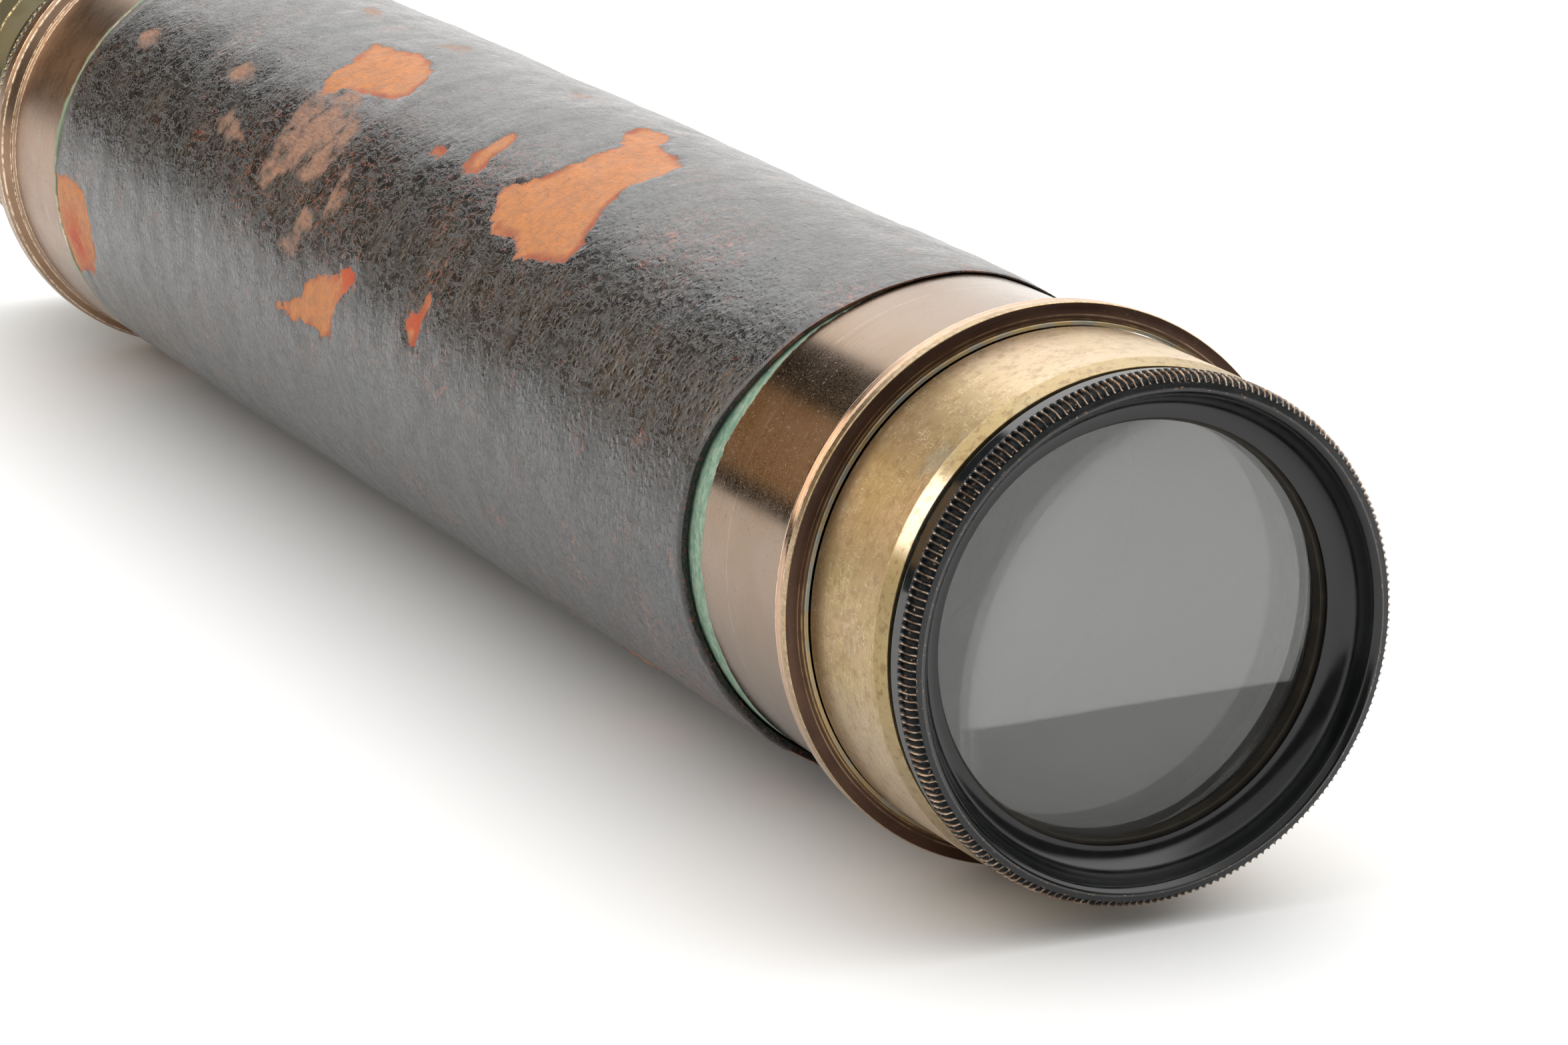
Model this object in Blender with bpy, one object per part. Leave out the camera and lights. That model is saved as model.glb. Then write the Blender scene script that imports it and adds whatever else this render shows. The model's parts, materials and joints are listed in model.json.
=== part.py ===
"""Three-draw brass hand telescope with a leather-covered main tube, modelled closed, for Blender 4.5.

Frame: metres, +Z up, the optical axis along X, the objective at +X and the eyepiece at -X.
The origin lies on the surface the telescope rests on, under the middle of its closed length.
A station is a distance behind the front face of the objective's milled rim.
"""

import math

import bmesh
import bpy

MM = 0.001

# Facets round every turned piece. A facet faces straight down, so the lowest ones lie flat.
SIDES = 32
SMALL_SIDES = 16
SMOOTH_ANGLE = math.radians(40)

# Driving dimensions.
CLOSED_LENGTH = 290.0 * MM
BEAD_RADIUS = 27.3 * MM
RIM_RADIUS = 25.0 * MM
TUBE_RADIUS = 24.9 * MM
TUBE_WALL = 0.8 * MM
GAP = 0.3 * MM
SEAT_GAP = 0.15 * MM
RUNNING_GAP = 0.1 * MM

# Objective cell.
RIM_FACE_OUTER = 24.3 * MM
RIM_FACE_INNER = 23.4 * MM
MOUTH_RADIUS = 22.8 * MM
MOUTH_LIP = 20.1 * MM
RIM_LENGTH = 2.4 * MM
FLANGE_RADIUS = 24.6 * MM
FLANGE_END = 4.6 * MM
CELL_NECK_RADIUS = 23.2 * MM
CELL_BORE = 21.2 * MM
CELL_MOUTH_END = 4.4 * MM
CELL_END = 14.6 * MM
CLEAR_APERTURE = 19.7 * MM

# Objective lenses.
OBJECTIVE_RADIUS = 21.0 * MM
CROWN_START = 6.35 * MM
CROWN_EDGE = 1.6 * MM
CROWN_FRONT_BULGE = 1.0 * MM
CONTACT_BULGE = 2.1 * MM
SPACER_START = 8.2 * MM
SPACER_LENGTH = 0.4 * MM
FLINT_START = 8.8 * MM
FLINT_END = 12.3 * MM

# Main tube and what is fixed on it.
SLEEVE_START = 5.2 * MM
SLEEVE_RADIUS = 25.05 * MM
SLEEVE_BEVEL = 1.9 * MM
SLEEVE_END = 20.0 * MM
SPIGOT_END = 28.0 * MM
BEAD_LIP = 21.0 * MM
BEAD_END = 25.0 * MM
LEATHER_START = 44.0 * MM
LEATHER_END = 236.2 * MM
LEATHER_RADIUS = 26.3 * MM
FERRULE_START = 236.6 * MM
FERRULE_RADIUS = 25.9 * MM
FERRULE_BEAD_START = 253.4 * MM
FERRULE_END = 259.0 * MM
END_LIP = 1.7 * MM
STOP_START = 50.0 * MM
STOP_LENGTH = 8.0 * MM
STOP_APERTURE = 14.0 * MM

# Draw tubes, outermost first.
DRAW_RADII = (21.6 * MM, 19.1 * MM, 16.6 * MM)
DRAW_WALL = 0.7 * MM
DRAW_START = 62.0 * MM
DRAW_START_STEP = 6.0 * MM
STOP_RING_LENGTH = 5.0 * MM
GUIDE_LENGTH = 24.0 * MM
COLLAR_RADII = (24.2 * MM, 22.8 * MM)
COLLAR_LENGTH = 7.0 * MM
COLLAR_LIP = 0.8 * MM

# Erector and eyepiece, both carried in the third draw.
INNER_TUBE_WALL = 0.65 * MM
ERECTOR_START = 84.0 * MM
ERECTOR_END = 168.0 * MM
ERECTOR_STOP_APERTURE = 3.0 * MM
EYEPIECE_START = 204.0 * MM
EYEPIECE_END = 284.0 * MM
FIELD_STOP_APERTURE = 8.0 * MM
LENS_CELL_LENGTH = 8.0 * MM
LARGE_LENS = 12.4 * MM
SMALL_LENS = 8.4 * MM

# Eye cap and its shutter.
CAP_RING_RADIUS = 20.4 * MM
CAP_WAIST_RADIUS = 18.6 * MM
CAP_RIM_RADIUS = 21.8 * MM
CAP_CHAMBER_END = 284.6 * MM
SHUTTER_RECESS = 15.6 * MM
SHUTTER_FLOOR = 288.0 * MM
EYE_HOLE = 4.0 * MM
PIVOT_OFFSET = 9.5 * MM
PIVOT_RADIUS = 1.0 * MM
PIVOT_HEAD_RADIUS = 2.0 * MM
PIVOT_DEPTH = 2.7 * MM
SHUTTER_DISC = 5.6 * MM
SHUTTER_TAIL = 2.9 * MM
SHUTTER_THICKNESS = 0.95 * MM
STUD_RADIUS = 0.9 * MM
STUD_OFFSET = 4.2 * MM

# Each finish: base colour, metallic, roughness.
FINISHES = {
    "black_lacquer": ((0.012, 0.013, 0.014), 0.0, 0.22),
    "dark_bronze": ((0.060, 0.045, 0.030), 0.6, 0.45),
    "gold_brass": ((0.560, 0.420, 0.190), 1.0, 0.28),
    "brown_brass": ((0.420, 0.260, 0.140), 1.0, 0.32),
    "draw_brass": ((0.620, 0.460, 0.200), 1.0, 0.22),
    "blackened": ((0.020, 0.020, 0.020), 0.2, 0.70),
    "leather": ((0.030, 0.028, 0.028), 0.0, 0.45),
    "glass": ((0.780, 0.800, 0.800), 0.0, 0.03),
}


def clear_scene():
    for obj in list(bpy.data.objects):
        bpy.data.objects.remove(obj, do_unlink=True)


def finish_of(obj, finish):
    """Gives the object its own material."""
    colour, metallic, roughness = FINISHES[finish]
    material = bpy.data.materials.new(f"{obj.name}_{finish}")
    material.use_nodes = True
    shader = material.node_tree.nodes["Principled BSDF"]
    shader.inputs["Base Color"].default_value = (*colour, 1.0)
    shader.inputs["Metallic"].default_value = metallic
    shader.inputs["Roughness"].default_value = roughness
    if finish == "glass":
        shader.inputs["Transmission Weight"].default_value = 1.0
    obj.data.materials.append(material)


def group(name, parent=None, location=(0.0, 0.0, 0.0)):
    """An empty that carries the pieces of one rigid group."""
    empty = bpy.data.objects.new(name, None)
    bpy.context.scene.collection.objects.link(empty)
    empty.parent = parent
    empty.location = location
    return empty


def placed(name, mesh, parent, station, offset=0.0):
    """An object on the optical axis at a station, or above the axis by an offset."""
    obj = bpy.data.objects.new(name, mesh)
    bpy.context.scene.collection.objects.link(obj)
    obj.parent = parent
    obj.location = (-station, 0.0, offset)
    return obj


def turned_mesh(name, outline, start, sides):
    """A closed outline of (station, radius) points turned once round the X axis."""
    grow = 1.0 / math.cos(math.pi / sides)
    half = math.pi / sides
    bm = bmesh.new()
    points = []
    for station, radius in outline:
        across = radius * grow
        place = (start - station, across * math.sin(half), across * math.cos(half))
        points.append(bm.verts.new(place))
    loop = [bm.edges.new((a, b)) for a, b in zip(points, points[1:] + points[:1])]
    bmesh.ops.spin(
        bm,
        geom=points + loop,
        cent=(0.0, 0.0, 0.0),
        axis=(1.0, 0.0, 0.0),
        angle=2.0 * math.pi,
        steps=sides,
        use_merge=True,
    )
    bmesh.ops.remove_doubles(bm, verts=bm.verts[:], dist=0.001 * MM)
    bmesh.ops.dissolve_degenerate(bm, edges=bm.edges[:], dist=0.001 * MM)
    bmesh.ops.recalc_face_normals(bm, faces=bm.faces[:])
    mesh = bpy.data.meshes.new(name)
    bm.to_mesh(mesh)
    bm.free()
    mesh.shade_smooth()
    mesh.set_sharp_from_angle(angle=SMOOTH_ANGLE)
    return mesh


def turned(name, outline, finish, parent, sides=SIDES, offset=0.0):
    """A turned piece whose origin is on its axis, at its front end."""
    start = min(station for station, _ in outline)
    obj = placed(name, turned_mesh(name, outline, start, sides), parent, start, offset)
    finish_of(obj, finish)
    return obj


def ring(start, end, inner, outer):
    """The outline of a plain tube or ring."""
    return [(start, outer), (end, outer), (end, inner), (start, inner)]


def dome(edge_station, edge_radius, bulge, steps=3):
    """A spherical surface from its edge to its pole. The bulge is added to the station at the pole."""
    sphere = (edge_radius**2 + bulge**2) / (2.0 * abs(bulge))
    sign = math.copysign(1.0, bulge)
    points = []
    for i in range(steps + 1):
        radius = edge_radius * (1.0 - i / steps)
        sag = sphere - math.sqrt(sphere**2 - radius**2)
        points.append((edge_station + bulge - sign * sag, radius))
    return points


def lens_outline(start, end, radius, front_bulge, rear_bulge):
    """The outline of a lens. A bulge is positive towards the eyepiece."""
    front = dome(start, radius, front_bulge) if front_bulge else [(start, radius), (start, 0.0)]
    rear = dome(end, radius, rear_bulge) if rear_bulge else [(end, radius), (end, 0.0)]
    return front[::-1] + rear


def build_objective(barrel):
    mouth_start = 0.6 * MM
    lip_start = CELL_MOUTH_END - 0.4 * MM
    turned(
        "objective_cell",
        [
            (0.0, RIM_FACE_OUTER),
            (0.5 * MM, RIM_RADIUS),
            (RIM_LENGTH, RIM_RADIUS),
            (RIM_LENGTH, FLANGE_RADIUS),
            (FLANGE_END, FLANGE_RADIUS),
            (FLANGE_END, CELL_NECK_RADIUS),
            (CELL_END, CELL_NECK_RADIUS),
            (CELL_END, CELL_BORE),
            (CELL_MOUTH_END, CELL_BORE),
            (CELL_MOUTH_END, MOUTH_LIP),
            (lip_start, MOUTH_LIP),
            (2.0 * MM, MOUTH_LIP + 1.0 * MM),
            (mouth_start, MOUTH_RADIUS),
            (0.0, RIM_FACE_INNER),
        ],
        "black_lacquer",
        barrel,
    )
    in_cell = CELL_BORE - SEAT_GAP
    seat = ring(CELL_MOUTH_END + GAP, CROWN_START - GAP, CLEAR_APERTURE, in_cell)
    turned("lens_seat_ring", seat, "dark_bronze", barrel)
    retainer = ring(FLINT_END + GAP, CELL_END - GAP, CLEAR_APERTURE, in_cell)
    turned("cell_retaining_ring", retainer, "dark_bronze", barrel)
    crown_end = CROWN_START + CROWN_EDGE
    turned(
        "objective_crown_lens",
        lens_outline(CROWN_START, crown_end, OBJECTIVE_RADIUS, -CROWN_FRONT_BULGE, CONTACT_BULGE),
        "glass",
        barrel,
    )
    spacer_end = SPACER_START + SPACER_LENGTH
    turned(
        "lens_spacer",
        ring(SPACER_START, spacer_end, OBJECTIVE_RADIUS - 0.8 * MM, OBJECTIVE_RADIUS),
        "dark_bronze",
        barrel,
    )
    turned(
        "objective_flint_lens",
        lens_outline(FLINT_START, FLINT_END, OBJECTIVE_RADIUS, CONTACT_BULGE, 0.0),
        "glass",
        barrel,
    )


def build_main_tube(barrel):
    tube_bore = TUBE_RADIUS - TUBE_WALL
    tube_start = SLEEVE_END + GAP
    tube_end = FERRULE_END - END_LIP - GAP
    over_tube = TUBE_RADIUS + SEAT_GAP
    turned("main_tube", ring(tube_start, tube_end, tube_bore, TUBE_RADIUS), "brown_brass", barrel)
    sleeve_bore = CELL_NECK_RADIUS + SEAT_GAP
    turned(
        "objective_sleeve",
        [
            (SLEEVE_START, SLEEVE_RADIUS - 0.3 * MM),
            (SLEEVE_START + SLEEVE_BEVEL, SLEEVE_RADIUS),
            (SLEEVE_END, SLEEVE_RADIUS),
            (SLEEVE_END, tube_bore - SEAT_GAP),
            (SPIGOT_END, tube_bore - SEAT_GAP),
            (SPIGOT_END, sleeve_bore),
            (SLEEVE_START, sleeve_bore),
        ],
        "gold_brass",
        barrel,
    )
    turned(
        "front_bead_ring",
        [
            (SLEEVE_END + GAP, over_tube + SEAT_GAP),
            (BEAD_LIP - 0.2 * MM, BEAD_RADIUS - 0.7 * MM),
            (BEAD_LIP, BEAD_RADIUS),
            (BEAD_LIP + 2.0 * MM, BEAD_RADIUS),
            (BEAD_END - 0.8 * MM, BEAD_RADIUS - 0.8 * MM),
            (BEAD_END, BEAD_RADIUS - 1.8 * MM),
            (BEAD_END, over_tube),
            (SLEEVE_END + GAP, over_tube),
        ],
        "brown_brass",
        barrel,
    )
    leather_round = 0.4 * MM
    turned(
        "leather_cover",
        [
            (LEATHER_START, over_tube),
            (LEATHER_START, LEATHER_RADIUS - leather_round),
            (LEATHER_START + leather_round, LEATHER_RADIUS),
            (LEATHER_END - leather_round, LEATHER_RADIUS),
            (LEATHER_END, LEATHER_RADIUS - leather_round),
            (LEATHER_END, over_tube),
        ],
        "leather",
        barrel,
    )
    turned(
        "rear_ferrule",
        [
            (FERRULE_START, over_tube),
            (FERRULE_START, FERRULE_RADIUS),
            (FERRULE_BEAD_START, FERRULE_RADIUS),
            (FERRULE_BEAD_START + 1.2 * MM, BEAD_RADIUS),
            (FERRULE_END - 1.8 * MM, BEAD_RADIUS),
            (FERRULE_END - 0.4 * MM, BEAD_RADIUS - 0.9 * MM),
            (FERRULE_END, BEAD_RADIUS - 1.9 * MM),
            (FERRULE_END, DRAW_RADII[0] + SEAT_GAP),
            (FERRULE_END - END_LIP, DRAW_RADII[0] + SEAT_GAP),
            (FERRULE_END - END_LIP, over_tube),
        ],
        "brown_brass",
        barrel,
    )
    stop_web = 1.0 * MM
    stop_outer = tube_bore - SEAT_GAP
    stop_end = STOP_START + STOP_LENGTH
    turned(
        "barrel_stop",
        [
            (STOP_START, stop_outer),
            (stop_end, stop_outer),
            (stop_end, stop_outer - TUBE_WALL),
            (STOP_START + stop_web, stop_outer - TUBE_WALL),
            (STOP_START + stop_web, STOP_APERTURE),
            (STOP_START, STOP_APERTURE),
        ],
        "blackened",
        barrel,
    )
    build_guide(1, tube_end, tube_bore, barrel)


def build_guide(number, end, carrier_bore, parent):
    """The bush in the rear of a tube, in which draw number `number` slides."""
    slide = DRAW_RADII[number - 1] + RUNNING_GAP
    outline = ring(end - GUIDE_LENGTH, end, slide, carrier_bore - SEAT_GAP)
    turned(f"draw_{number}_guide", outline, "blackened", parent)


def collar_start(number):
    return FERRULE_END + GAP + (number - 1) * (COLLAR_LENGTH + GAP)


def build_draw(number, carrier_bore, parent):
    """Draw 1 or 2: its tube, the ring that stops it, its collar and the guide of the next draw."""
    radius = DRAW_RADII[number - 1]
    bore = radius - DRAW_WALL
    start = DRAW_START + (number - 1) * DRAW_START_STEP
    collar = collar_start(number)
    collar_end = collar + COLLAR_LENGTH
    tube_end = collar_end - COLLAR_LIP - GAP / 2
    next_draw = DRAW_RADII[number] + SEAT_GAP
    collar_radius = COLLAR_RADII[number - 1]
    turned(f"draw_{number}_tube", ring(start, tube_end, bore, radius), "draw_brass", parent)
    build_stop_ring(number, start, carrier_bore, parent)
    chamfer = 0.6 * MM
    turned(
        f"draw_{number}_collar",
        [
            (collar, radius + SEAT_GAP),
            (collar, collar_radius - chamfer),
            (collar + chamfer, collar_radius),
            (collar_end - chamfer, collar_radius),
            (collar_end, collar_radius - chamfer),
            (collar_end, next_draw),
            (collar_end - COLLAR_LIP, next_draw),
            (collar_end - COLLAR_LIP, radius + SEAT_GAP),
        ],
        "draw_brass",
        parent,
    )
    build_guide(number + 1, tube_end, bore, parent)
    return bore


def build_stop_ring(number, start, carrier_bore, parent):
    """The ring at a draw's front end that meets the guide when the draw is fully out."""
    inner = DRAW_RADII[number - 1] + SEAT_GAP
    outline = ring(start, start + STOP_RING_LENGTH, inner, carrier_bore - 2 * RUNNING_GAP)
    turned(f"draw_{number}_stop_ring", outline, "draw_brass", parent)


def build_lens_and_cell(name, start, tube_bore, lens_radius, bulge, parent):
    """A lens in its cell. The shoulder is at the front of the cell, and the lens's curved side behind it."""
    shoulder = 1.6 * MM
    edge = 1.6 * MM
    lens_start = start + shoulder + SEAT_GAP
    cell_bore = lens_radius + SEAT_GAP
    end = start + LENS_CELL_LENGTH
    outer = tube_bore - SEAT_GAP
    turned(
        f"{name}_cell",
        [
            (start, outer),
            (end, outer),
            (end, cell_bore),
            (start + shoulder, cell_bore),
            (start + shoulder, lens_radius - 1.2 * MM),
            (start, lens_radius - 1.2 * MM),
        ],
        "blackened",
        parent,
    )
    outline = lens_outline(lens_start, lens_start + edge, lens_radius, 0.0, bulge)
    turned(name, outline, "glass", parent)


def build_third_draw(carrier_bore, parent):
    radius = DRAW_RADII[2]
    bore = radius - DRAW_WALL
    start = DRAW_START + 2 * DRAW_START_STEP
    socket_end = collar_start(3) + COLLAR_LENGTH
    turned("draw_3_tube", ring(start, socket_end, bore, radius), "draw_brass", parent)
    build_stop_ring(3, start, carrier_bore, parent)
    outer = bore - SEAT_GAP
    inner = outer - INNER_TUBE_WALL
    disc_outer = inner - SEAT_GAP
    disc = 1.5 * MM
    cell_inset = 1.0 * MM
    large_bulge = 2.4 * MM
    turned("erector_tube", ring(ERECTOR_START, ERECTOR_END, inner, outer), "draw_brass", parent)
    front_cell = ERECTOR_START + cell_inset
    rear_cell = ERECTOR_END - cell_inset - LENS_CELL_LENGTH
    build_lens_and_cell("erector_front_lens", front_cell, inner, LARGE_LENS, large_bulge, parent)
    build_lens_and_cell("erector_rear_lens", rear_cell, inner, LARGE_LENS, large_bulge, parent)
    middle = (ERECTOR_START + ERECTOR_END) / 2
    erector_stop = ring(middle, middle + disc, ERECTOR_STOP_APERTURE, disc_outer)
    turned("erector_stop", erector_stop, "blackened", parent)
    turned("eyepiece_tube", ring(EYEPIECE_START, EYEPIECE_END, inner, outer), "draw_brass", parent)
    field_cell = EYEPIECE_START + cell_inset
    eye_cell = EYEPIECE_END - cell_inset - LENS_CELL_LENGTH
    build_lens_and_cell("field_lens", field_cell, inner, LARGE_LENS, large_bulge, parent)
    build_lens_and_cell("eye_lens", eye_cell, inner, SMALL_LENS, 1.8 * MM, parent)
    stop = (EYEPIECE_START + EYEPIECE_END) / 2
    field_stop = ring(stop, stop + disc, FIELD_STOP_APERTURE, disc_outer)
    turned("field_stop", field_stop, "blackened", parent)


def build_eye_cap(parent):
    front = collar_start(3)
    socket = DRAW_RADII[2] + SEAT_GAP
    socket_end = front + COLLAR_LENGTH + GAP
    chamber = DRAW_RADII[2] - DRAW_WALL
    ring_end = front + 4.6 * MM
    rim_start = CLOSED_LENGTH - 2.6 * MM
    edge = 0.5 * MM
    cap = turned(
        "eye_cap",
        [
            (front, socket),
            (front, CAP_RING_RADIUS - edge),
            (front + edge, CAP_RING_RADIUS),
            (ring_end, CAP_RING_RADIUS),
            (ring_end + 0.8 * MM, CAP_WAIST_RADIUS),
            (ring_end + 3.2 * MM, CAP_WAIST_RADIUS),
            (rim_start - 1.6 * MM, CAP_RIM_RADIUS - 1.2 * MM),
            (rim_start, CAP_RIM_RADIUS),
            (CLOSED_LENGTH - edge, CAP_RIM_RADIUS),
            (CLOSED_LENGTH, CAP_RIM_RADIUS - edge),
            (CLOSED_LENGTH, SHUTTER_RECESS),
            (SHUTTER_FLOOR, SHUTTER_RECESS),
            (SHUTTER_FLOOR, EYE_HOLE),
            (CAP_CHAMBER_END, EYE_HOLE),
            (CAP_CHAMBER_END, chamber),
            (socket_end, chamber),
            (socket_end, socket),
        ],
        "draw_brass",
        parent,
    )
    hole = [
        (SHUTTER_FLOOR - PIVOT_DEPTH - SEAT_GAP, 0.0),
        (SHUTTER_FLOOR - PIVOT_DEPTH - SEAT_GAP, PIVOT_RADIUS + RUNNING_GAP),
        (SHUTTER_FLOOR + GAP, PIVOT_RADIUS + RUNNING_GAP),
        (SHUTTER_FLOOR + GAP, 0.0),
    ]
    cut(cap, cutter("pivot_hole_cutter", hole, parent, PIVOT_OFFSET))


def cutter(name, outline, parent, offset):
    """A turned solid that only cuts or joins other solids."""
    start = min(station for station, _ in outline)
    mesh = turned_mesh(name, outline, start, SMALL_SIDES)
    obj = placed(name, mesh, parent, start, offset)
    obj.hide_render = True
    obj.display_type = "WIRE"
    return obj


def cut(target, tool, operation="DIFFERENCE"):
    modifier = target.modifiers.new(tool.name, "BOOLEAN")
    modifier.operation = operation
    modifier.solver = "EXACT"
    modifier.object = tool


def build_pivot_screw(parent):
    under_head = SHUTTER_FLOOR + SEAT_GAP + SHUTTER_THICKNESS + SEAT_GAP
    tip = SHUTTER_FLOOR - PIVOT_DEPTH
    head = 0.6 * MM
    turned(
        "shutter_pivot_screw",
        [
            (tip, 0.0),
            (tip, PIVOT_RADIUS),
            (under_head, PIVOT_RADIUS),
            (under_head, PIVOT_HEAD_RADIUS),
            (under_head + head, PIVOT_HEAD_RADIUS - 0.2 * MM),
            (under_head + head, 0.0),
        ],
        "draw_brass",
        parent,
        sides=SMALL_SIDES,
        offset=PIVOT_OFFSET,
    )


def teardrop(disc, tail, distance, steps=9):
    """The outline, in Y and Z, of a disc round (0, -distance) joined by tangents to a tail round the origin."""
    lean = math.asin((disc - tail) / distance)
    points = []
    for centre, radius, first, last in (
        (-distance, disc, math.pi - lean, 2.0 * math.pi + lean),
        (0.0, tail, lean, math.pi - lean),
    ):
        for i in range(steps + 1):
            angle = first + (last - first) * i / steps
            points.append((radius * math.cos(angle), centre + radius * math.sin(angle)))
    return points


def build_shutter(parent):
    """The shutter's plate. Its origin is on its pivot."""
    bm = bmesh.new()
    outline = teardrop(SHUTTER_DISC, SHUTTER_TAIL, PIVOT_OFFSET)
    corners = [bm.verts.new((0.0, y, z)) for y, z in outline]
    face = bm.faces.new(corners)
    made = bmesh.ops.extrude_face_region(bm, geom=[face])
    moved = [item for item in made["geom"] if isinstance(item, bmesh.types.BMVert)]
    bmesh.ops.translate(bm, verts=moved, vec=(-SHUTTER_THICKNESS, 0.0, 0.0))
    bmesh.ops.recalc_face_normals(bm, faces=bm.faces[:])
    mesh = bpy.data.meshes.new("eye_shutter")
    bm.to_mesh(mesh)
    bm.free()
    mesh.shade_smooth()
    mesh.set_sharp_from_angle(angle=SMOOTH_ANGLE)
    plate = placed("eye_shutter", mesh, parent, 0.0)
    finish_of(plate, "draw_brass")
    clear = PIVOT_RADIUS + SEAT_GAP
    through = SHUTTER_THICKNESS + GAP
    hole = [(-GAP, 0.0), (-GAP, clear), (through, clear), (through, 0.0)]
    cut(plate, cutter("shutter_hole_cutter", hole, parent, 0.0))
    stud_end = SHUTTER_THICKNESS + 0.8 * MM
    foot = SHUTTER_THICKNESS / 2
    stud = [(foot, 0.0), (foot, STUD_RADIUS), (stud_end, STUD_RADIUS), (stud_end, 0.0)]
    cut(plate, cutter("stud_joiner", stud, parent, -PIVOT_OFFSET - STUD_OFFSET), "UNION")


def main():
    clear_scene()
    telescope = group("telescope", location=(CLOSED_LENGTH / 2, 0.0, BEAD_RADIUS))
    barrel = group("barrel", telescope)
    build_objective(barrel)
    build_main_tube(barrel)
    carrier = barrel
    carrier_bore = TUBE_RADIUS - TUBE_WALL
    for number in (1, 2):
        carrier = group(f"draw_{number}", carrier)
        carrier_bore = build_draw(number, carrier_bore, carrier)
    third = group("draw_3", carrier)
    build_third_draw(carrier_bore, third)
    build_eye_cap(third)
    build_pivot_screw(third)
    pivot = group("shutter_pivot", third, (-SHUTTER_FLOOR - SEAT_GAP, 0.0, PIVOT_OFFSET))
    build_shutter(pivot)
    bpy.context.view_layer.update()


main()
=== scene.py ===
"""Looks of the closed brass hand telescope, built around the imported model.

Lengths along the optical axis are stations: millimetres behind the front of the rim. Radii are millimetres
from the axis. Angles are degrees round the axis, 0 at the top and 90 towards +Y.
"""

import json
import math

import bmesh
import bpy
import numpy as np
from mathutils import Matrix, Vector

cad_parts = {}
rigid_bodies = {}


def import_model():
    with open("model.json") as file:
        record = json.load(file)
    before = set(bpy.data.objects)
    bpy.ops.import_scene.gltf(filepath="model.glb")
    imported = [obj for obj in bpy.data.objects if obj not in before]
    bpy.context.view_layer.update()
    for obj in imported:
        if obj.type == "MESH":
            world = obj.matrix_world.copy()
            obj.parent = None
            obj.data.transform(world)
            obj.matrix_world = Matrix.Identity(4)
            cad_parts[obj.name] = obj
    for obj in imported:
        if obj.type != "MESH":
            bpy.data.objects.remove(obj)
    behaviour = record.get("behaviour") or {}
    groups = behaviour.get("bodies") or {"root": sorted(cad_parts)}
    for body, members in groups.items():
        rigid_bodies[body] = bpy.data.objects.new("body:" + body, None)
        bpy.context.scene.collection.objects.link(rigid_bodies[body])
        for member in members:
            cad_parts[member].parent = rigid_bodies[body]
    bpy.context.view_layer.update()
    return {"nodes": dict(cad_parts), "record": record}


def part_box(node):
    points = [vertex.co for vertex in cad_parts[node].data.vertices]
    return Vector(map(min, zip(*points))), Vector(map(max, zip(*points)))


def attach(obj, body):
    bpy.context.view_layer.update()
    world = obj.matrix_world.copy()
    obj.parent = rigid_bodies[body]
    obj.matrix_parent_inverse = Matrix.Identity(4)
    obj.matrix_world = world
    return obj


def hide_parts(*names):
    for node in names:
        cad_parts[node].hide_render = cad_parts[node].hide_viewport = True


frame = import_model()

MM = 0.001
RECORD = frame["record"]
BODY_OF = {n: body for body, names in RECORD["behaviour"]["bodies"].items() for n in names}
SLOT_OF = {part["node"]: part["material_slot"] for part in RECORD["subparts"]}
FRONT_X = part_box("objective_cell")[1].x
AXIS_Z = (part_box("main_tube")[0].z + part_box("main_tube")[1].z) / 2
ROLL = 6.7  # the covering's wear pattern is turned by this much round the axis
RIM_TEETH = 213
DRAW_BORES = (21.75, 19.25, 16.75)  # radii of the holes round the three draws


# --- measures


def size(node):
    """First station, last station and outer radius of a CAD node."""
    low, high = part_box(node)
    return (FRONT_X - high.x) / MM, (FRONT_X - low.x) / MM, (high.y - low.y) / 2 / MM


# --- meshes


def at(first, wide, *rows):
    """Outline rows from rows of (behind first, inside wide, fillet, zone)."""
    return [(first + s, wide - r, fillet, zone) for s, r, fillet, zone in rows]


def rounded(outline, steps=4, support=0.12):
    """Rows (station, radius, edge, zone) of a closed outline of (station, radius, fillet, zone)."""
    rows = []
    for i, (s, r, fillet, zone) in enumerate(outline):
        before = outline[i - 1][3]
        if fillet <= 0:
            rows.append((s, r, 0.0, zone))
            continue
        corner = np.array((s, r))
        back = np.array(outline[i - 1][:2]) - corner
        ahead = np.array(outline[(i + 1) % len(outline)][:2]) - corner
        back_length = np.linalg.norm(back)
        ahead_length = np.linalg.norm(ahead)
        back = back / back_length
        ahead = ahead / ahead_length
        half = math.acos(max(-1.0, min(1.0, float(back @ ahead)))) / 2
        reach = min(fillet / math.tan(half), 0.4 * back_length, 0.4 * ahead_length)
        radius = reach * math.tan(half)
        middle = (back + ahead) / np.linalg.norm(back + ahead)
        centre = corner + middle * radius / math.sin(half)
        first = corner + back * reach - centre
        last = corner + ahead * reach - centre
        turn = math.pi - 2 * half
        lead = min(reach + support, 0.48 * back_length)
        rows.append((*(corner + back * lead), 0.0, before))
        for k in range(steps + 1):
            t = k / steps
            arc = (math.sin((1 - t) * turn) * first + math.sin(t * turn) * last) / math.sin(turn)
            rows.append((*(centre + arc), 1.0, before if k < steps / 2 else zone))
        lead = min(reach + support, 0.48 * ahead_length)
        rows.append((*(corner + ahead * lead), 0.0, zone))
    return rows


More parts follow.
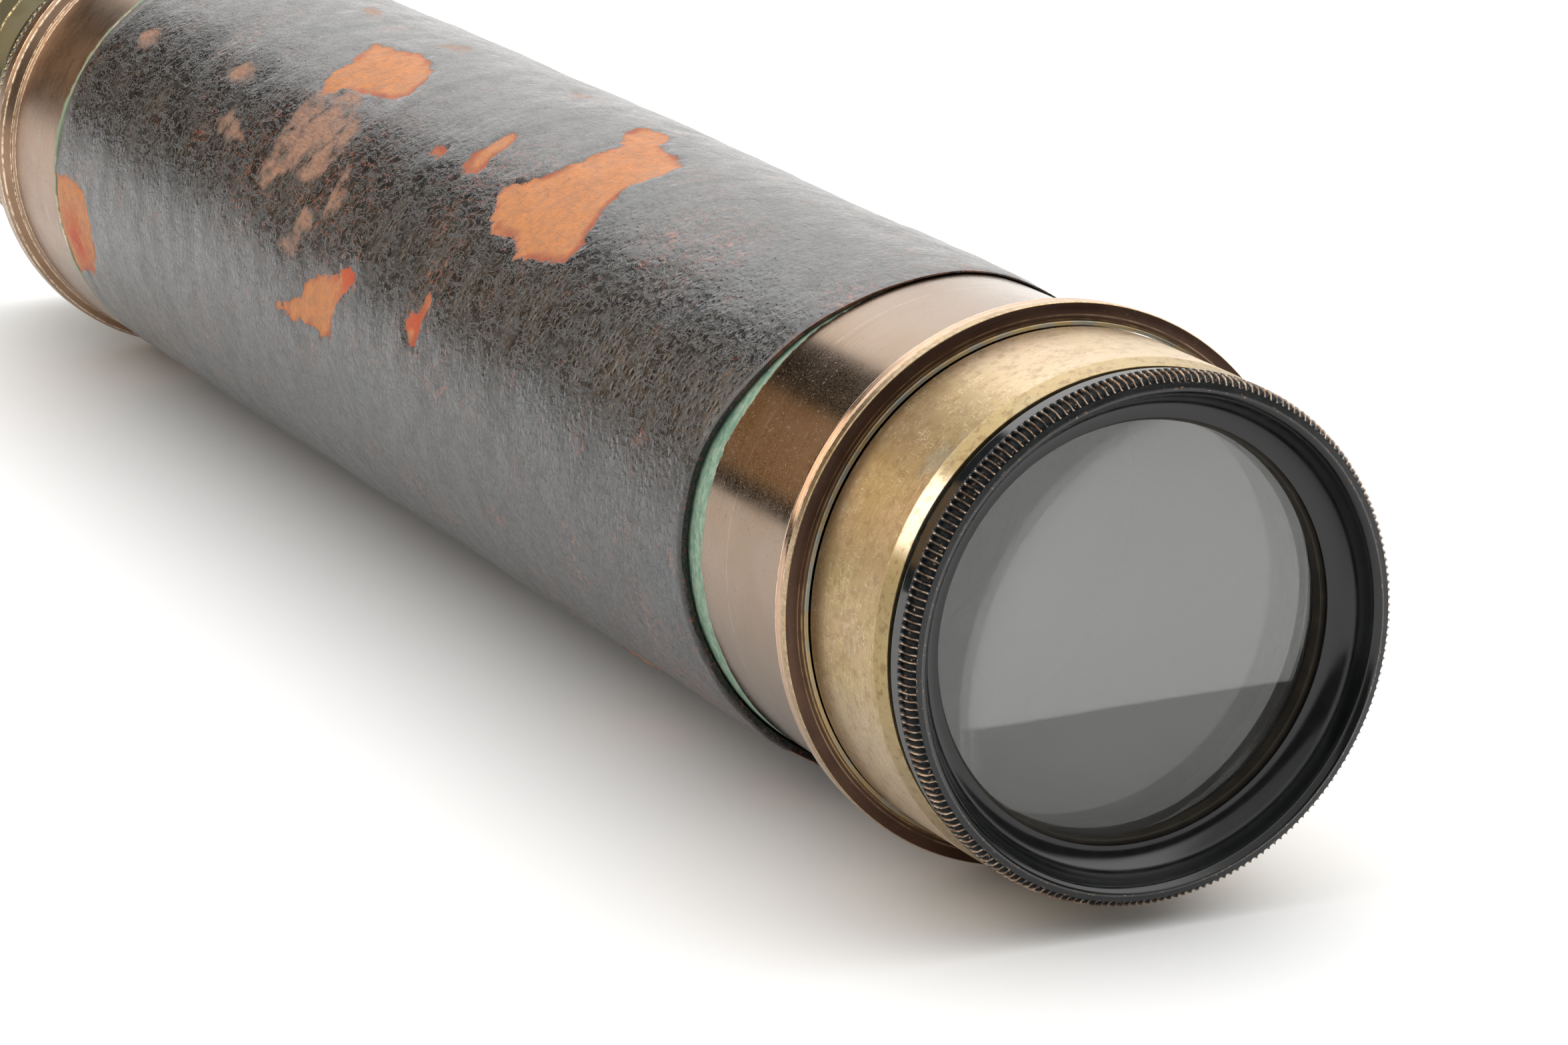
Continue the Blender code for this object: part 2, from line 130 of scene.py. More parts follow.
def refined(rows, first, last, gap, above):
    """The rows with the stretch between two stations, outside a radius, cut into short steps."""
    finer = []
    for i, row in enumerate(rows):
        finer.append(row)
        s, r, _, zone = row
        s2, r2, _, _ = rows[(i + 1) % len(rows)]
        inside = min(s, s2) >= first - 1e-6 and max(s, s2) <= last + 1e-6 and min(r, r2) > above
        count = int(abs(s2 - s) / gap) if inside else 0
        for k in range(1, count + 1):
            t = k / (count + 1)
            finer.append((s + (s2 - s) * t, r + (r2 - r) * t, 0.0, zone))
    return finer


def add_layer(mesh, name, values):
    attribute = mesh.attributes.new(name, "FLOAT", "POINT")
    attribute.data.foreach_set("value", np.asarray(values, np.float32))


def mesh_object(name, points, faces, materials, zones=None, layers=()):
    """An object of a closed mesh whose points are (station, y, z from the axis) in millimetres."""
    placed = np.array((FRONT_X, 0.0, AXIS_Z)) + points * np.array((-MM, MM, MM))
    mesh = bpy.data.meshes.new(name)
    mesh.from_pydata(placed.tolist(), [], faces)
    for material in materials:
        mesh.materials.append(material)
    if zones is not None:
        mesh.polygons.foreach_set("material_index", zones)
    shaped = bmesh.new()
    shaped.from_mesh(mesh)
    bmesh.ops.recalc_face_normals(shaped, faces=shaped.faces)
    shaped.to_mesh(mesh)
    shaped.free()
    mesh.shade_smooth()
    mesh.set_sharp_from_angle(angle=math.radians(38))
    for layer, values in layers:
        add_layer(mesh, layer, values)
    made = bpy.data.objects.new(name, mesh)
    bpy.context.scene.collection.objects.link(made)
    return made


def stand_in(node, *parts, **more):
    """A mesh object in place of a CAD node, on that node's body."""
    piece = mesh_object(node + "_look", *parts, **more)
    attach(piece, BODY_OF[node])
    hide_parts(node)
    return piece


def grid(columns, count):
    """Faces of a closed grid with count points in each column, and the row that each face starts in."""
    i = np.repeat(np.arange(columns), count)
    j = np.tile(np.arange(count), columns)
    i2 = (i + 1) % columns
    j2 = (j + 1) % count
    faces = np.stack([i * count + j, i2 * count + j, i2 * count + j2, i * count + j2], -1)
    return faces.tolist(), j


def wound(station, radius, turn):
    """Points at stations and radii, turned round the axis."""
    return np.stack([station, radius * np.sin(turn), radius * np.cos(turn)], -1).reshape(-1, 3)


def lathe(node, rows, materials, segments=256, milling=None):
    """A turned piece for a CAD node from closed rows. milling is (first, last, teeth, depth)."""
    s, r, edge, zone = (np.array(column) for column in zip(*rows))
    turn = np.arange(segments) / segments * 2 * math.pi
    radius = np.repeat(r[None], segments, 0)
    crest = np.zeros_like(radius)
    groove = np.zeros_like(radius)
    if milling:
        first, last, teeth, depth = milling
        phase = np.abs((turn * teeth / (2 * math.pi) + 0.5) % 1 - 0.5)
        pitch = 2 * math.pi * r.max() / teeth
        along = np.clip((s - first) / (last - first), 0, 1)
        width = 0.40 * pitch * np.sqrt(np.clip(1 - np.abs(2 * along - 1) ** 4, 0, 1))
        width = np.where((s > first) & (s < last) & (r > r.max() - 0.78), width, 0)
        share = np.clip(phase[:, None] * pitch / np.maximum(width, 1e-6)[None], 0, 1)
        sunk = np.sqrt(1 - share**2) * np.minimum(1, width / (0.2 * pitch))[None]
        radius = radius - depth * sunk
        groove = np.clip(sunk * 1.6, 0, 1)
        ridge = np.clip((phase - 0.24) / 0.13, 0, 1)[:, None]
        crest = ridge * np.clip(width / (0.3 * pitch), 0, 1)[None]
    points = wound(np.repeat(s[None], segments, 0), radius, turn[:, None])
    faces, row_of = grid(segments, len(rows))
    layers = [("edge", np.tile(edge, segments)), ("crest", crest.reshape(-1)), ("groove", groove.reshape(-1))]
    return stand_in(node, points, faces, materials, zone[row_of], layers)


def spun(rows, lift=0.0, segments=64):
    """Points and faces of a solid whose rows (station, radius) start and end on its own, lifted axis."""
    points = [(rows[0][0], 0.0, lift), (rows[-1][0], 0.0, lift)]
    inner = rows[1:-1]
    for s, r in inner:
        for k in range(segments):
            a = 2 * math.pi * k / segments
            points.append((s, r * math.sin(a), lift + r * math.cos(a)))
    faces = []
    for k in range(segments):
        k2 = (k + 1) % segments
        faces.append((0, 2 + k, 2 + k2))
        for j in range(len(inner) - 1):
            a = 2 + j * segments
            faces.append((a + k, a + segments + k, a + segments + k2, a + k2))
        a = 2 + (len(inner) - 1) * segments
        faces.append((1, a + k2, a + k))
    return np.array(points), faces


def lens(node, front, back, glass, segments=192):
    """A lens for a CAD node between two faces, each from its middle to its edge."""
    stand_in(node, *spun(front + back[::-1], segments=segments), [glass])


def bowl(vertex, edge, radius, steps=20):
    """Rows of a lens face from the axis to its edge."""
    return [(vertex + (edge - vertex) * (k / steps) ** 2, radius * k / steps) for k in range(steps + 1)]


# --- shading


class Value:
    """A shader value that is added, subtracted and multiplied like a number."""

    def __init__(self, graph, socket):
        self.graph = graph
        self.socket = socket

    def __add__(self, other):
        return self.graph.math("ADD", self, other)

    def __sub__(self, other):
        return self.graph.math("SUBTRACT", self, other)

    def __rsub__(self, other):
        return self.graph.math("SUBTRACT", other, self)

    def __mul__(self, other):
        return self.graph.math("MULTIPLY", self, other)

    def __abs__(self):
        return self.graph.math("ABSOLUTE", self)

    def most(self, other):
        return self.graph.math("MAXIMUM", self, other)

    def step(self, low, high, to_low=0.0, to_high=1.0):
        """A smooth step: to_low below low, to_high above high."""
        ends = {"Value": self, "From Min": low, "From Max": high, "To Min": to_low, "To Max": to_high}
        return self.graph.value("MapRange", ends, "Result", interpolation_type="SMOOTHSTEP")

    def drop(self, low, high):
        """1 below low, falling to 0 at high."""
        return self.step(low, high, 1.0, 0.0)

    def band(self, low, high, soft):
        """1 between low and high, 0 outside."""
        return self.step(low - soft, low + soft) * self.drop(high - soft, high + soft)


class Graph:
    """Adds nodes to a shader tree."""

    def __init__(self, tree):
        self.tree = tree

    def feed(self, value, socket):
        if isinstance(value, Value):
            self.tree.links.new(value.socket, socket)
        else:
            socket.default_value = value

    def node(self, kind, inputs, **settings):
        made = self.tree.nodes.new("ShaderNode" + kind)
        for key, value in settings.items():
            setattr(made, key, value)
        for key, value in inputs.items():
            self.feed(value, made.inputs[key])
        return made

    def value(self, kind, inputs, output=0, **settings):
        """One output of a new node."""
        return Value(self, self.node(kind, inputs, **settings).outputs[output])

    def math(self, operation, a, b=0.0):
        return self.value("Math", {0: a, 1: b}, operation=operation)

    def parts(self, vector):
        return (Value(self, part) for part in self.node("SeparateXYZ", {0: vector}).outputs)

    def mix(self, share, a, b):
        """Colour a, or b where share is 1."""
        made = self.node("Mix", {"Factor": share}, data_type="RGBA")
        for value, socket in zip((a, b), [i for i in made.inputs if i.type == "RGBA"]):
            self.feed((*value, 1.0) if isinstance(value, tuple) else value, socket)
        return Value(self, next(o for o in made.outputs if o.type == "RGBA"))


class Look(Graph):
    """A Principled material whose colours, roughness and bumps come from noise in the piece's own space."""

    def __init__(self, name, **constants):
        self.material = bpy.data.materials.new(name)
        self.material.use_nodes = True
        super().__init__(self.material.node_tree)
        self.shader = self.tree.nodes["Principled BSDF"]
        for key, value in constants.items():
            self.shader.inputs[key.replace("_", " ")].default_value = value
        own = self.value("TexCoord", {}, "Object")
        turn = (-1 / MM, 1 / MM, 1 / MM)
        start = (FRONT_X / MM, 0.0, -AXIS_Z / MM)
        self.place = self.value("VectorMath", {0: own, 1: turn, 2: start}, operation="MULTIPLY_ADD")
        self.station, self.y, self.z = self.parts(self.place)

    def stretched(self, s, y, z):
        return self.value("VectorMath", {0: self.place, 1: (s, y, z)}, operation="MULTIPLY")

    def noise(self, s, y=None, z=None, detail=3.0, rough=0.55, distortion=0.0, shift=0.0):
        """Noise from 0 to 1; s, y and z are features per millimetre in each direction."""
        y = s if y is None else y
        z = y if z is None else z
        inputs = {"Vector": self.stretched(s, y, z), "W": shift, "Scale": 1.0, "Detail": detail}
        inputs |= {"Roughness": rough, "Distortion": distortion}
        return self.value("TexNoise", inputs, "Fac", noise_dimensions="4D")

    def cells(self, scale, warp, feature="F1"):
        """Distances in a pattern of cells that is bent by noise."""
        vector = self.stretched(scale, scale, scale)
        bend = self.value("TexNoise", {"Vector": vector, "Scale": 0.6}, "Color")
        bent = self.value("VectorMath", {0: bend, 1: (warp,) * 3, 2: vector}, operation="MULTIPLY_ADD")
        return self.value("TexVoronoi", {"Vector": bent, "Scale": 1.0}, "Distance", feature=feature)

    def layer(self, name):
        return self.value("Attribute", {}, "Fac", attribute_name=name)

    def angle(self):
        """Angle round the axis in degrees, from -180 to 180."""
        return self.math("ARCTAN2", self.y, self.z) * (180 / math.pi)

    def bumps(self, *layers):
        """The surface's direction after bumps of (height, depth in millimetres), one over the other."""
        inputs = {"Strength": 1.0}
        for height, depth in layers:
            inputs |= {"Distance": depth * MM, "Height": height}
            inputs["Normal"] = self.value("Bump", inputs, "Normal")
        return inputs["Normal"]

    def finish(self, colour, roughness, normal=None, metal=None):
        fed = {"Base Color": colour, "Roughness": roughness, "Normal": normal, "Metallic": metal}
        for key, value in fed.items():
            if value is not None:
                self.feed(value, self.shader.inputs[key])
        return self.material


def turned_brass(
    name, tones, rough, blotch=0.16, streak=0.5, edge_tone=None, shift=0.0, extra=None, mottle=0.6, specks=0.3
):
    """Old turned brass: blotched tones, circumferential tool lines, small dark pits and bright scratches.

    tones are (main, second, dark, grey) colours; extra may change (look, colour, rough) by station.
    """
    look = Look(name, Metallic=1.0)
    noise, mix = look.noise, look.mix
    main, second, dark, grey = tones
    colour = mix(noise(blotch, detail=4, shift=shift).step(0.42, 0.62), main, second)
    patches = noise(blotch * 1.9, detail=5, rough=0.6, shift=shift + 4).step(0.56, 0.74)
    colour = mix(patches * mottle, colour, grey)
    lines = noise(9.0, 0.12, rough=0.7, shift=shift + 1)
    colour = mix(lines.step(0.5, 0.78) * streak, colour, dark)
    pits = noise(2.6, detail=2, rough=0.6, shift=shift + 2).step(0.69, 0.76)
    colour = mix(pits * 0.75, colour, dark)
    clouds = noise(0.22, shift=shift + 3).step(0.35, 0.7, -0.015, 0.03)
    shine = lines.step(0.3, 0.8, rough - 0.04, rough + 0.05) + clouds
    motes = noise(2.6, rough=0.6, shift=shift + 9).step(0.60, 0.68)
    motes = motes * noise(0.16, shift=shift + 10).step(0.38, 0.58) * specks
    colour = mix(motes, colour, (0.23, 0.185, 0.14))
    shine = shine + motes * 0.55
    if edge_tone is not None:
        wear = look.layer("edge") * noise(1.4, shift=shift + 5).step(0.34, 0.6)
        colour = mix(wear, colour, edge_tone)
    if extra is not None:
        colour, shine = extra(look, colour, shine)
    scratches = noise(26.0, 0.25, detail=2, rough=0.8, shift=shift + 6)
    crossing = noise(0.25, 9.0, detail=2, rough=0.9, shift=shift + 7).step(0.66, 0.74)
    oblique = noise(3.2, 6.0, 1.1, detail=1, rough=0.9, distortion=0.6, shift=shift + 11)
    cuts = abs(oblique - 0.5).step(0.0, 0.012)
    return look.finish(colour, shine, look.bumps((scratches, 0.0016), (crossing, 0.0008), (cuts, 0.0012)))


# --- materials


def tube_extra(look, colour, shine):
    """Verdigris and a darkening beside the covering, and a faint scribed line."""
    noise, mix = look.noise, look.mix
    gap = look.layer("rim_gap")
    fray = (noise(0.9, detail=4, rough=0.65) - 0.5) * 1.1
    green = (look.layer("green_width") - gap + fray).step(-0.12, 0.22)
    clouds = noise(1.6, 0.8, detail=4, shift=3).step(0.38, 0.62)
    tone = mix(clouds, (0.25, 0.34, 0.25), (0.12, 0.235, 0.165))
    flaked = noise(2.4, 1.4, detail=4, rough=0.65, shift=31).step(0.55, 0.66)
    tone = mix(flaked * 0.7, tone, (0.40, 0.44, 0.35))
    bare = noise(1.2, 0.7, detail=4, rough=0.65, shift=32).step(0.62, 0.70)
    tone = mix(bare * 0.7, tone, (0.33, 0.25, 0.13))
    # darker just in front of the covering's edge
    edge_darkening = (gap + noise(0.5, shift=9) * 1.6).drop(0.9, 3.4)
    colour = mix(edge_darkening * 0.3, colour, (0.10, 0.055, 0.03))
    colour = mix(green, colour, tone)
    scribe = look.station.band(38.55, 38.7, 0.09) * noise(0.05, 0.6, detail=2).step(0.35, 0.5)
    colour = mix(scribe * 0.22, colour, (0.62, 0.50, 0.40))
    look.feed(1.0 - green * 0.97, look.shader.inputs["Metallic"])
    return colour, shine + green * 0.5 + edge_darkening * 0.08


def bead_extra(look, colour, shine):
    """Pale verdigris at the foot of the bead, gold wear with fine dents on its front half, and a painted
    highlight on its rear half.
    """
    noise, mix = look.noise, look.mix
    foot = look.station.drop(20.55, 20.7)
    pale = mix(noise(0.4, shift=4).step(0.4, 0.6), (0.22, 0.24, 0.21), (0.34, 0.25, 0.11))
    colour = mix(foot * 0.8, colour, pale)
    front = look.station.band(20.95, 22.2, 0.06)
    dents = noise(1.1, 2.4, detail=4, rough=0.7, shift=5).step(0.42, 0.62)
    colour = mix(front * 0.85, colour, mix(dents, (0.46, 0.34, 0.18), (0.30, 0.20, 0.10)))
    # painted highlight: a lighter peach band round the rear half of the bead
    rear = look.station.band(22.45, 23.7, 0.1)
    colour = mix(rear * 0.7, colour, (0.50, 0.34, 0.235))
    return colour, shine + front * 0.10 + foot * 0.2 + rear * -0.03


def cove_extra(look, colour, shine):
    """Two painted highlight lines round the hollow in front of the bead."""
    radius = look.math("SQRT", look.y * look.y + look.z * look.z)
    uneven = look.noise(0.3, rough=0.6, shift=6).step(0.36, 0.58, 0.25, 1.0)
    # painted highlights: lighter lines at two radii of the hollow
    for low, high, tone in ((25.94, 26.06, (0.36, 0.25, 0.16)), (25.52, 25.66, (0.40, 0.27, 0.11))):
        colour = look.mix(radius.band(low, high, 0.05) * uneven * 0.8, colour, tone)
    return colour, shine


def ragged(look, scale, shift, fine, coarse):
    """The station, moved forward and back by fine and coarse waves of so many millimetres."""
    fine_waves = (look.noise(scale, detail=4, shift=shift) - 0.5) * fine
    return look.station + (fine_waves + (look.noise(0.035, detail=2, shift=16) - 0.5) * coarse)


def rear_extra(look, colour, shine):
    """Verdigris where the ferrule meets the covering."""
    green = ragged(look, 0.7, 0, 2.0, -4.5).drop(236.6, 237.8)
    look.feed(1.0 - green, look.shader.inputs["Metallic"])
    return look.mix(green, colour, (0.17, 0.25, 0.155)), shine + green * 0.35


def sleeve_extra(look, colour, shine):
    """Painted bead reflection, painted highlights and dark band, a painted bevel highlight, crossing
    scratches.
    """
    noise, mix, angle = look.noise, look.mix, look.angle()
    # painted reflection of the bead: browner brass towards its foot
    brown = (look.station + noise(0.3, shift=12) * 3.0).step(16.8, 21.4)
    colour = mix(brown * 0.6, colour, (0.24, 0.15, 0.078))
    # painted highlights: pale bands along the top and the lower side of the sleeve
    pale = angle.band(-26.0, 60.0, 8.0).most(angle.band(-150.0, -104.0, 10.0))
    colour = mix(pale * 0.55, colour, (0.60, 0.47, 0.34))
    # painted dark reflection: a darker band round one side of the sleeve
    colour = mix(angle.band(-50.0, -29.0, 7.0) * 0.4, colour, (0.27, 0.18, 0.08))
    blue = noise(0.13, rough=0.6, shift=13).step(0.60, 0.70)
    colour = mix(blue * 0.4, colour, (0.38, 0.38, 0.32))
    fine = noise(0.9, detail=4, rough=0.7, shift=30).step(0.46, 0.66)
    colour = mix(fine * 0.5, colour, (0.25, 0.165, 0.08))
    for way, shift in (((2.2, 0.5, 0.5), 14), ((0.5, 2.0, 2.4), 15), ((1.6, 2.2, 0.7), 16)):
        line = abs(noise(*way, detail=1, rough=0.8, distortion=0.3, shift=shift) - 0.5).drop(0.0, 0.018)
        line = line * noise(0.4, detail=2, shift=shift + 5).step(0.45, 0.6)
        colour = mix(line * 0.6, colour, (0.70, 0.60, 0.42))
    bevel = look.station.drop(6.9, 7.2)
    specks = noise(1.1, detail=4, rough=0.7, shift=11).step(0.5, 0.62)
    # painted highlight: one bright place on the front bevel, where a softbox would reflect
    bright = bevel * angle.band(-66.0, -49.0, 3.0)
    colour = mix(bevel * 0.75, colour, mix(specks, (0.30, 0.230, 0.110), (0.19, 0.125, 0.060)))
    colour = mix(bright, colour, mix(specks, (0.86, 0.74, 0.55), (0.62, 0.50, 0.33)))
    return colour, shine + bright * -0.08


def draw_brass():
    """Brass of the sliding tubes: long fine scratches, fingermarks and light tarnish."""
    look = Look("brass_draw_polished", Metallic=1.0)
    noise, mix = look.noise, look.mix
    dark = (0.22, 0.14, 0.05)
    colour = mix(noise(0.09, detail=4, shift=100).step(0.4, 0.64), (0.62, 0.47, 0.21), (0.55, 0.40, 0.19))
    lines = noise(0.05, 7.0, rough=0.7, shift=101)
    colour = mix(lines.step(0.52, 0.74) * 0.45, colour, dark)
    colour = mix(noise(1.7, rough=0.6, shift=102).step(0.68, 0.75) * 0.7, colour, dark)
    colour = mix(look.layer("edge") * 0.6, colour, (0.80, 0.64, 0.38))
    fingers = noise(0.2, detail=4, shift=103).step(0.4, 0.66, -0.03, 0.07)
    shine = lines.step(0.3, 0.75, 0.11, 0.26) + fingers
    scratches = noise(0.12, 16.0, detail=2, rough=0.8, shift=104)
    return look.finish(colour, shine, look.bumps((scratches, 0.002), (noise(0.5, shift=105), 0.004)))


def lacquer(name, rough, spread, shift, tone=(0.008, 0.009, 0.010), chips=0.0, rubbed=0.55, sheen=0.5):
    """Black lacquer over brass: worn through on crests and edges, with small chips.

    spread is how far the roughness strays from rough.
    """
    look = Look(name)
    noise, mix = look.noise, look.mix
    dull_groove = look.layer("groove").step(0.1, 0.8, sheen, 0.12 * sheen)
    look.feed(dull_groove, look.shader.inputs["Specular IOR Level"])
    grime = noise(0.5, detail=4, shift=shift)
    colour = mix(grime.step(0.4, 0.7), tone, tuple(1.6 * part for part in tone))
    specks = noise(2.9, rough=0.6, shift=shift + 1).step(0.74 - chips, 0.77 - chips)
    worn = look.layer("crest").step(0.72, 0.98) * noise(1.1, rough=0.6, shift=shift + 2).step(0.30, 0.52)
    uneven = noise(1.6, detail=4, rough=0.7, shift=shift + 3)
    edge = look.layer("edge") * uneven.step(rubbed, rubbed + 0.08)
    bare = worn.most(edge.most(specks * 0.7))
    copper = mix(noise(0.9, shift=shift + 4).step(0.35, 0.65), (0.22, 0.13, 0.08), (0.48, 0.36, 0.26))
    colour = mix(bare, colour, copper)
    swirl = noise(6.0, 0.2, rough=0.7, shift=shift + 5).step(0.3, 0.75, rough - spread, rough + spread)
    shine = swirl + grime.step(0.4, 0.7, 0.0, spread) + bare * 0.06
    turning = noise(14.0, 0.3, detail=2, rough=0.8, shift=shift + 6)
    normal = look.bumps((turning, 0.0012), (noise(0.9, shift=shift + 7), 0.003), (bare, -0.008))
    return look.finish(colour, shine, normal, bare * 0.9)


def covering():
    """Black leather worn through to tan, with pebbled grain, creases and verdigris at the rear edge."""
    look = Look("leather_black_worn")
    noise, mix = look.noise, look.mix
    wear, thin, scuff, reddened = (look.layer(name) for name in ("wear", "thin", "scuff", "red"))

    # where the skin is open, half open, flecked or cracked
    fray = (noise(0.45, detail=4, rough=0.6) - 0.5) * 3.4
    fray = fray + (noise(2.2, detail=4, rough=0.7, shift=1) - 0.5) * 1.3
    bare = (wear + fray).step(-0.12, 0.12)
    rub = noise(0.30, detail=5, rough=0.66, shift=2)
    half = (thin + fray).step(-0.5, 0.8) * rub.step(0.33, 0.58)
    near = wear.most(thin).step(-7.0, -0.5)
    flecks = noise(1.5, detail=4, rough=0.65, shift=3).step(0.60, 0.68) * (near * 0.5 + 0.10 + scuff * 0.75)
    torn = noise(0.16, detail=2, shift=4).step(0.54, 0.66).most(scuff)
    cracks = look.cells(0.42, 2.4, "DISTANCE_TO_EDGE").drop(0.0, 0.05) * torn

    # black skin
    skin = mix(noise(0.07, shift=5).step(0.4, 0.62), (0.0048, 0.0048, 0.0051), (0.0080, 0.0064, 0.0062))
    skin = mix(noise(0.05, detail=2, shift=6).step(0.55, 0.68), skin, (0.007, 0.009, 0.012))

    # tan under it
    tan_clouds = noise(0.7, detail=4, rough=0.6, shift=7).step(0.36, 0.66)
    tan = mix(tan_clouds, (0.49, 0.182, 0.052), (0.37, 0.155, 0.062))
    fibre = noise(0.8, 3.0, detail=4, rough=0.7, shift=8)
    tan = mix(fibre.step(0.50, 0.72, 0.0, 0.5), tan, (0.25, 0.080, 0.030))
    tan = mix(reddened * noise(0.5, detail=4, shift=21).step(0.34, 0.5), tan, (0.42, 0.060, 0.014))
    soiled = noise(1.9, detail=4, rough=0.7, shift=23).step(0.56, 0.68)
    tan = mix(soiled * 0.5, tan, (0.15, 0.055, 0.028))
    rim = abs(wear + fray).drop(0.0, 0.75) * noise(0.22, shift=17).step(0.36, 0.56)
    ember = wear.drop(0.2, 1.6) * noise(0.10, detail=2, shift=18).step(0.50, 0.60)
    tan = mix(ember * 0.8, tan, (0.24, 0.040, 0.012))

    # all of it, from the skin down
    colour = mix(cracks * 0.7, skin, (0.19, 0.045, 0.018))
    colour = mix(flecks * 0.75, colour, (0.20, 0.055, 0.026))
    glowing = reddened * noise(0.75, detail=4, rough=0.65, shift=20).step(0.55, 0.63)
    colour = mix(glowing * 0.8, colour, (0.27, 0.075, 0.030))
    rubbed = mix(fibre.step(0.4, 0.7), (0.33, 0.175, 0.105), (0.20, 0.085, 0.050))
    colour = mix(half * 0.86, colour, rubbed)
    colour = mix(bare, colour, tan)
    colour = mix(rim * bare * 0.55, colour, (0.36, 0.060, 0.020))

    # the cut front edge, painted near-black as shade with red-brown along its top, and verdigris at the rear
    red = noise(0.8, 1.6, detail=4, rough=0.6, shift=9).step(0.56, 0.70)
    top = look.angle().band(-48.0, 20.0, 9.0) * noise(0.35, shift=22).step(0.34, 0.56)
    shaded_cut = mix(top * 0.85, (0.006, 0.005, 0.005), (0.17, 0.055, 0.024))
    colour = mix(look.layer("cut"), colour, mix(red * 0.8, shaded_cut, (0.22, 0.035, 0.014)))
    green = ragged(look, 0.6, 10, 2.4, 4.5).step(235.7, 236.7)
    colour = mix(green, colour, mix(noise(0.8, shift=12), (0.08, 0.11, 0.065), (0.18, 0.21, 0.13)))

    # gloss and relief
    open_skin = bare.most(half * 0.8)
    look.feed(open_skin.step(0.0, 1.0, 0.82, 0.35), look.shader.inputs["Specular IOR Level"])
    fine = noise(2.6, rough=0.6, shift=13)
    shine = noise(0.3, detail=4, shift=15).step(0.35, 0.7, 0.20, 0.29) + fine.step(0.3, 0.7, 0.05, -0.03)
    shine = shine + open_skin * 0.33 + green * 0.3
    crease = noise(0.42, 0.9, detail=4, rough=0.62, distortion=1.2, shift=14)
    near_front = look.station.step(60.0, 110.0, 1.0, 0.5)
    pits = noise(1.05, detail=2, rough=0.5, shift=19).step(0.63, 0.70) * near_front
    normal = look.bumps(
        (crease, 0.050),
        (abs(crease - 0.5).step(0.0, 0.045), 0.014),
        (look.cells(1.15, 1.2).step(0.08, 0.62) * near_front, 0.046),
        (fine * near_front, 0.020),
        (pits, -0.05),
        (open_skin * (fibre - 1.2), 0.05),
    )
    return look.finish(colour, shine, normal)


def optical_glass(name, ior, dust, shift, clearness=0.96):
    """Polished lens glass with a thin uneven film of dust."""
    look = Look(name, IOR=ior)
    film = look.noise(0.06, rough=0.5, shift=shift).step(0.3, 0.75, dust * 0.6, dust * 1.3)
    motes = look.noise(2.2, detail=2, rough=0.5, shift=shift + 1).step(0.775, 0.80)
    look.feed(1.0 - film.most(motes * 0.55), look.shader.inputs["Transmission Weight"])
    return look.finish((clearness, 1.01 * clearness, clearness, 1.0), 0.0)


def inside_paint():
    """Matt black paint over brass, with brown showing through in places."""
    look = Look("paint_inside_black", Specular_IOR_Level=0.15)
    grain = look.noise(3.0, detail=4, rough=0.6)
    clouds = look.noise(0.4, detail=4).step(0.5, 0.72)
    colour = look.mix(clouds, (0.004, 0.004, 0.0045), (0.012, 0.009, 0.007))
    return look.finish(colour, grain.step(0.3, 0.7, 0.55, 0.7), look.bumps((grain, 0.002)))


GOLD = turned_brass(
    "brass_sleeve_gold",
    ((0.44, 0.325, 0.155), (0.47, 0.335, 0.190), (0.22, 0.145, 0.065), (0.36, 0.320, 0.205)),
    0.40, blotch=0.13, streak=0.8, edge_tone=(0.50, 0.37, 0.21), extra=sleeve_extra,
)
TUBE = turned_brass(
    "brass_tube_brown",
    ((0.285, 0.208, 0.150), (0.265, 0.185, 0.125), (0.11, 0.068, 0.038), (0.25, 0.215, 0.185)),
    0.16, blotch=0.08, streak=0.25, edge_tone=(0.60, 0.48, 0.38), shift=20.0, extra=tube_extra,
    mottle=0.3, specks=0.38,
)
BEAD = turned_brass(
    "brass_bead_worn",
    ((0.42, 0.27, 0.155), (0.33, 0.19, 0.11), (0.09, 0.05, 0.03), (0.36, 0.29, 0.22)),
    0.20, blotch=0.25, streak=0.3, edge_tone=(0.80, 0.70, 0.60), shift=40.0, extra=bead_extra,
)
# the cove's dark brown tones are a painted dark reflection of the lens cell
COVE = turned_brass(
    "brass_cove_painted_dark_reflection",
    ((0.100, 0.058, 0.041), (0.078, 0.045, 0.032), (0.03, 0.02, 0.015), (0.12, 0.08, 0.060)),
    0.36, streak=0.4, shift=50.0, extra=cove_extra,
)
FERRULE = turned_brass(
    "brass_ferrule_brown",
    ((0.31, 0.200, 0.130), (0.27, 0.170, 0.110), (0.09, 0.05, 0.03), (0.34, 0.28, 0.22)),
    0.28, blotch=0.12, streak=0.4, edge_tone=(0.72, 0.58, 0.42), shift=60.0, extra=rear_extra,
)
# dark olive bronze, darkened further as a painted dark reflection
COLLAR = turned_brass(
    "brass_collar_olive",
    ((0.105, 0.092, 0.052), (0.085, 0.072, 0.040), (0.045, 0.036, 0.02), (0.10, 0.09, 0.066)),
    0.27, streak=0.4, edge_tone=(0.62, 0.48, 0.25), shift=80.0,
)
DRAW = draw_brass()
RING = lacquer("bronze_paint_ring", 0.55, 0.04, 120.0, (0.024, 0.020, 0.014), rubbed=0.9, sheen=0.25)
KNURL = lacquer("lacquer_milled_edge", 0.24, 0.05, 140.0, rubbed=0.57)
FLANGE = lacquer("lacquer_gloss_flange", 0.07, 0.03, 160.0, chips=0.02, rubbed=0.58)
FACE = lacquer("lacquer_satin_face", 0.24, 0.05, 180.0, (0.011, 0.011, 0.011), rubbed=0.54, sheen=1.0)
WALL = lacquer("lacquer_mouth_wall", 0.17, 0.03, 200.0, (0.0035, 0.004, 0.0045), rubbed=0.66)
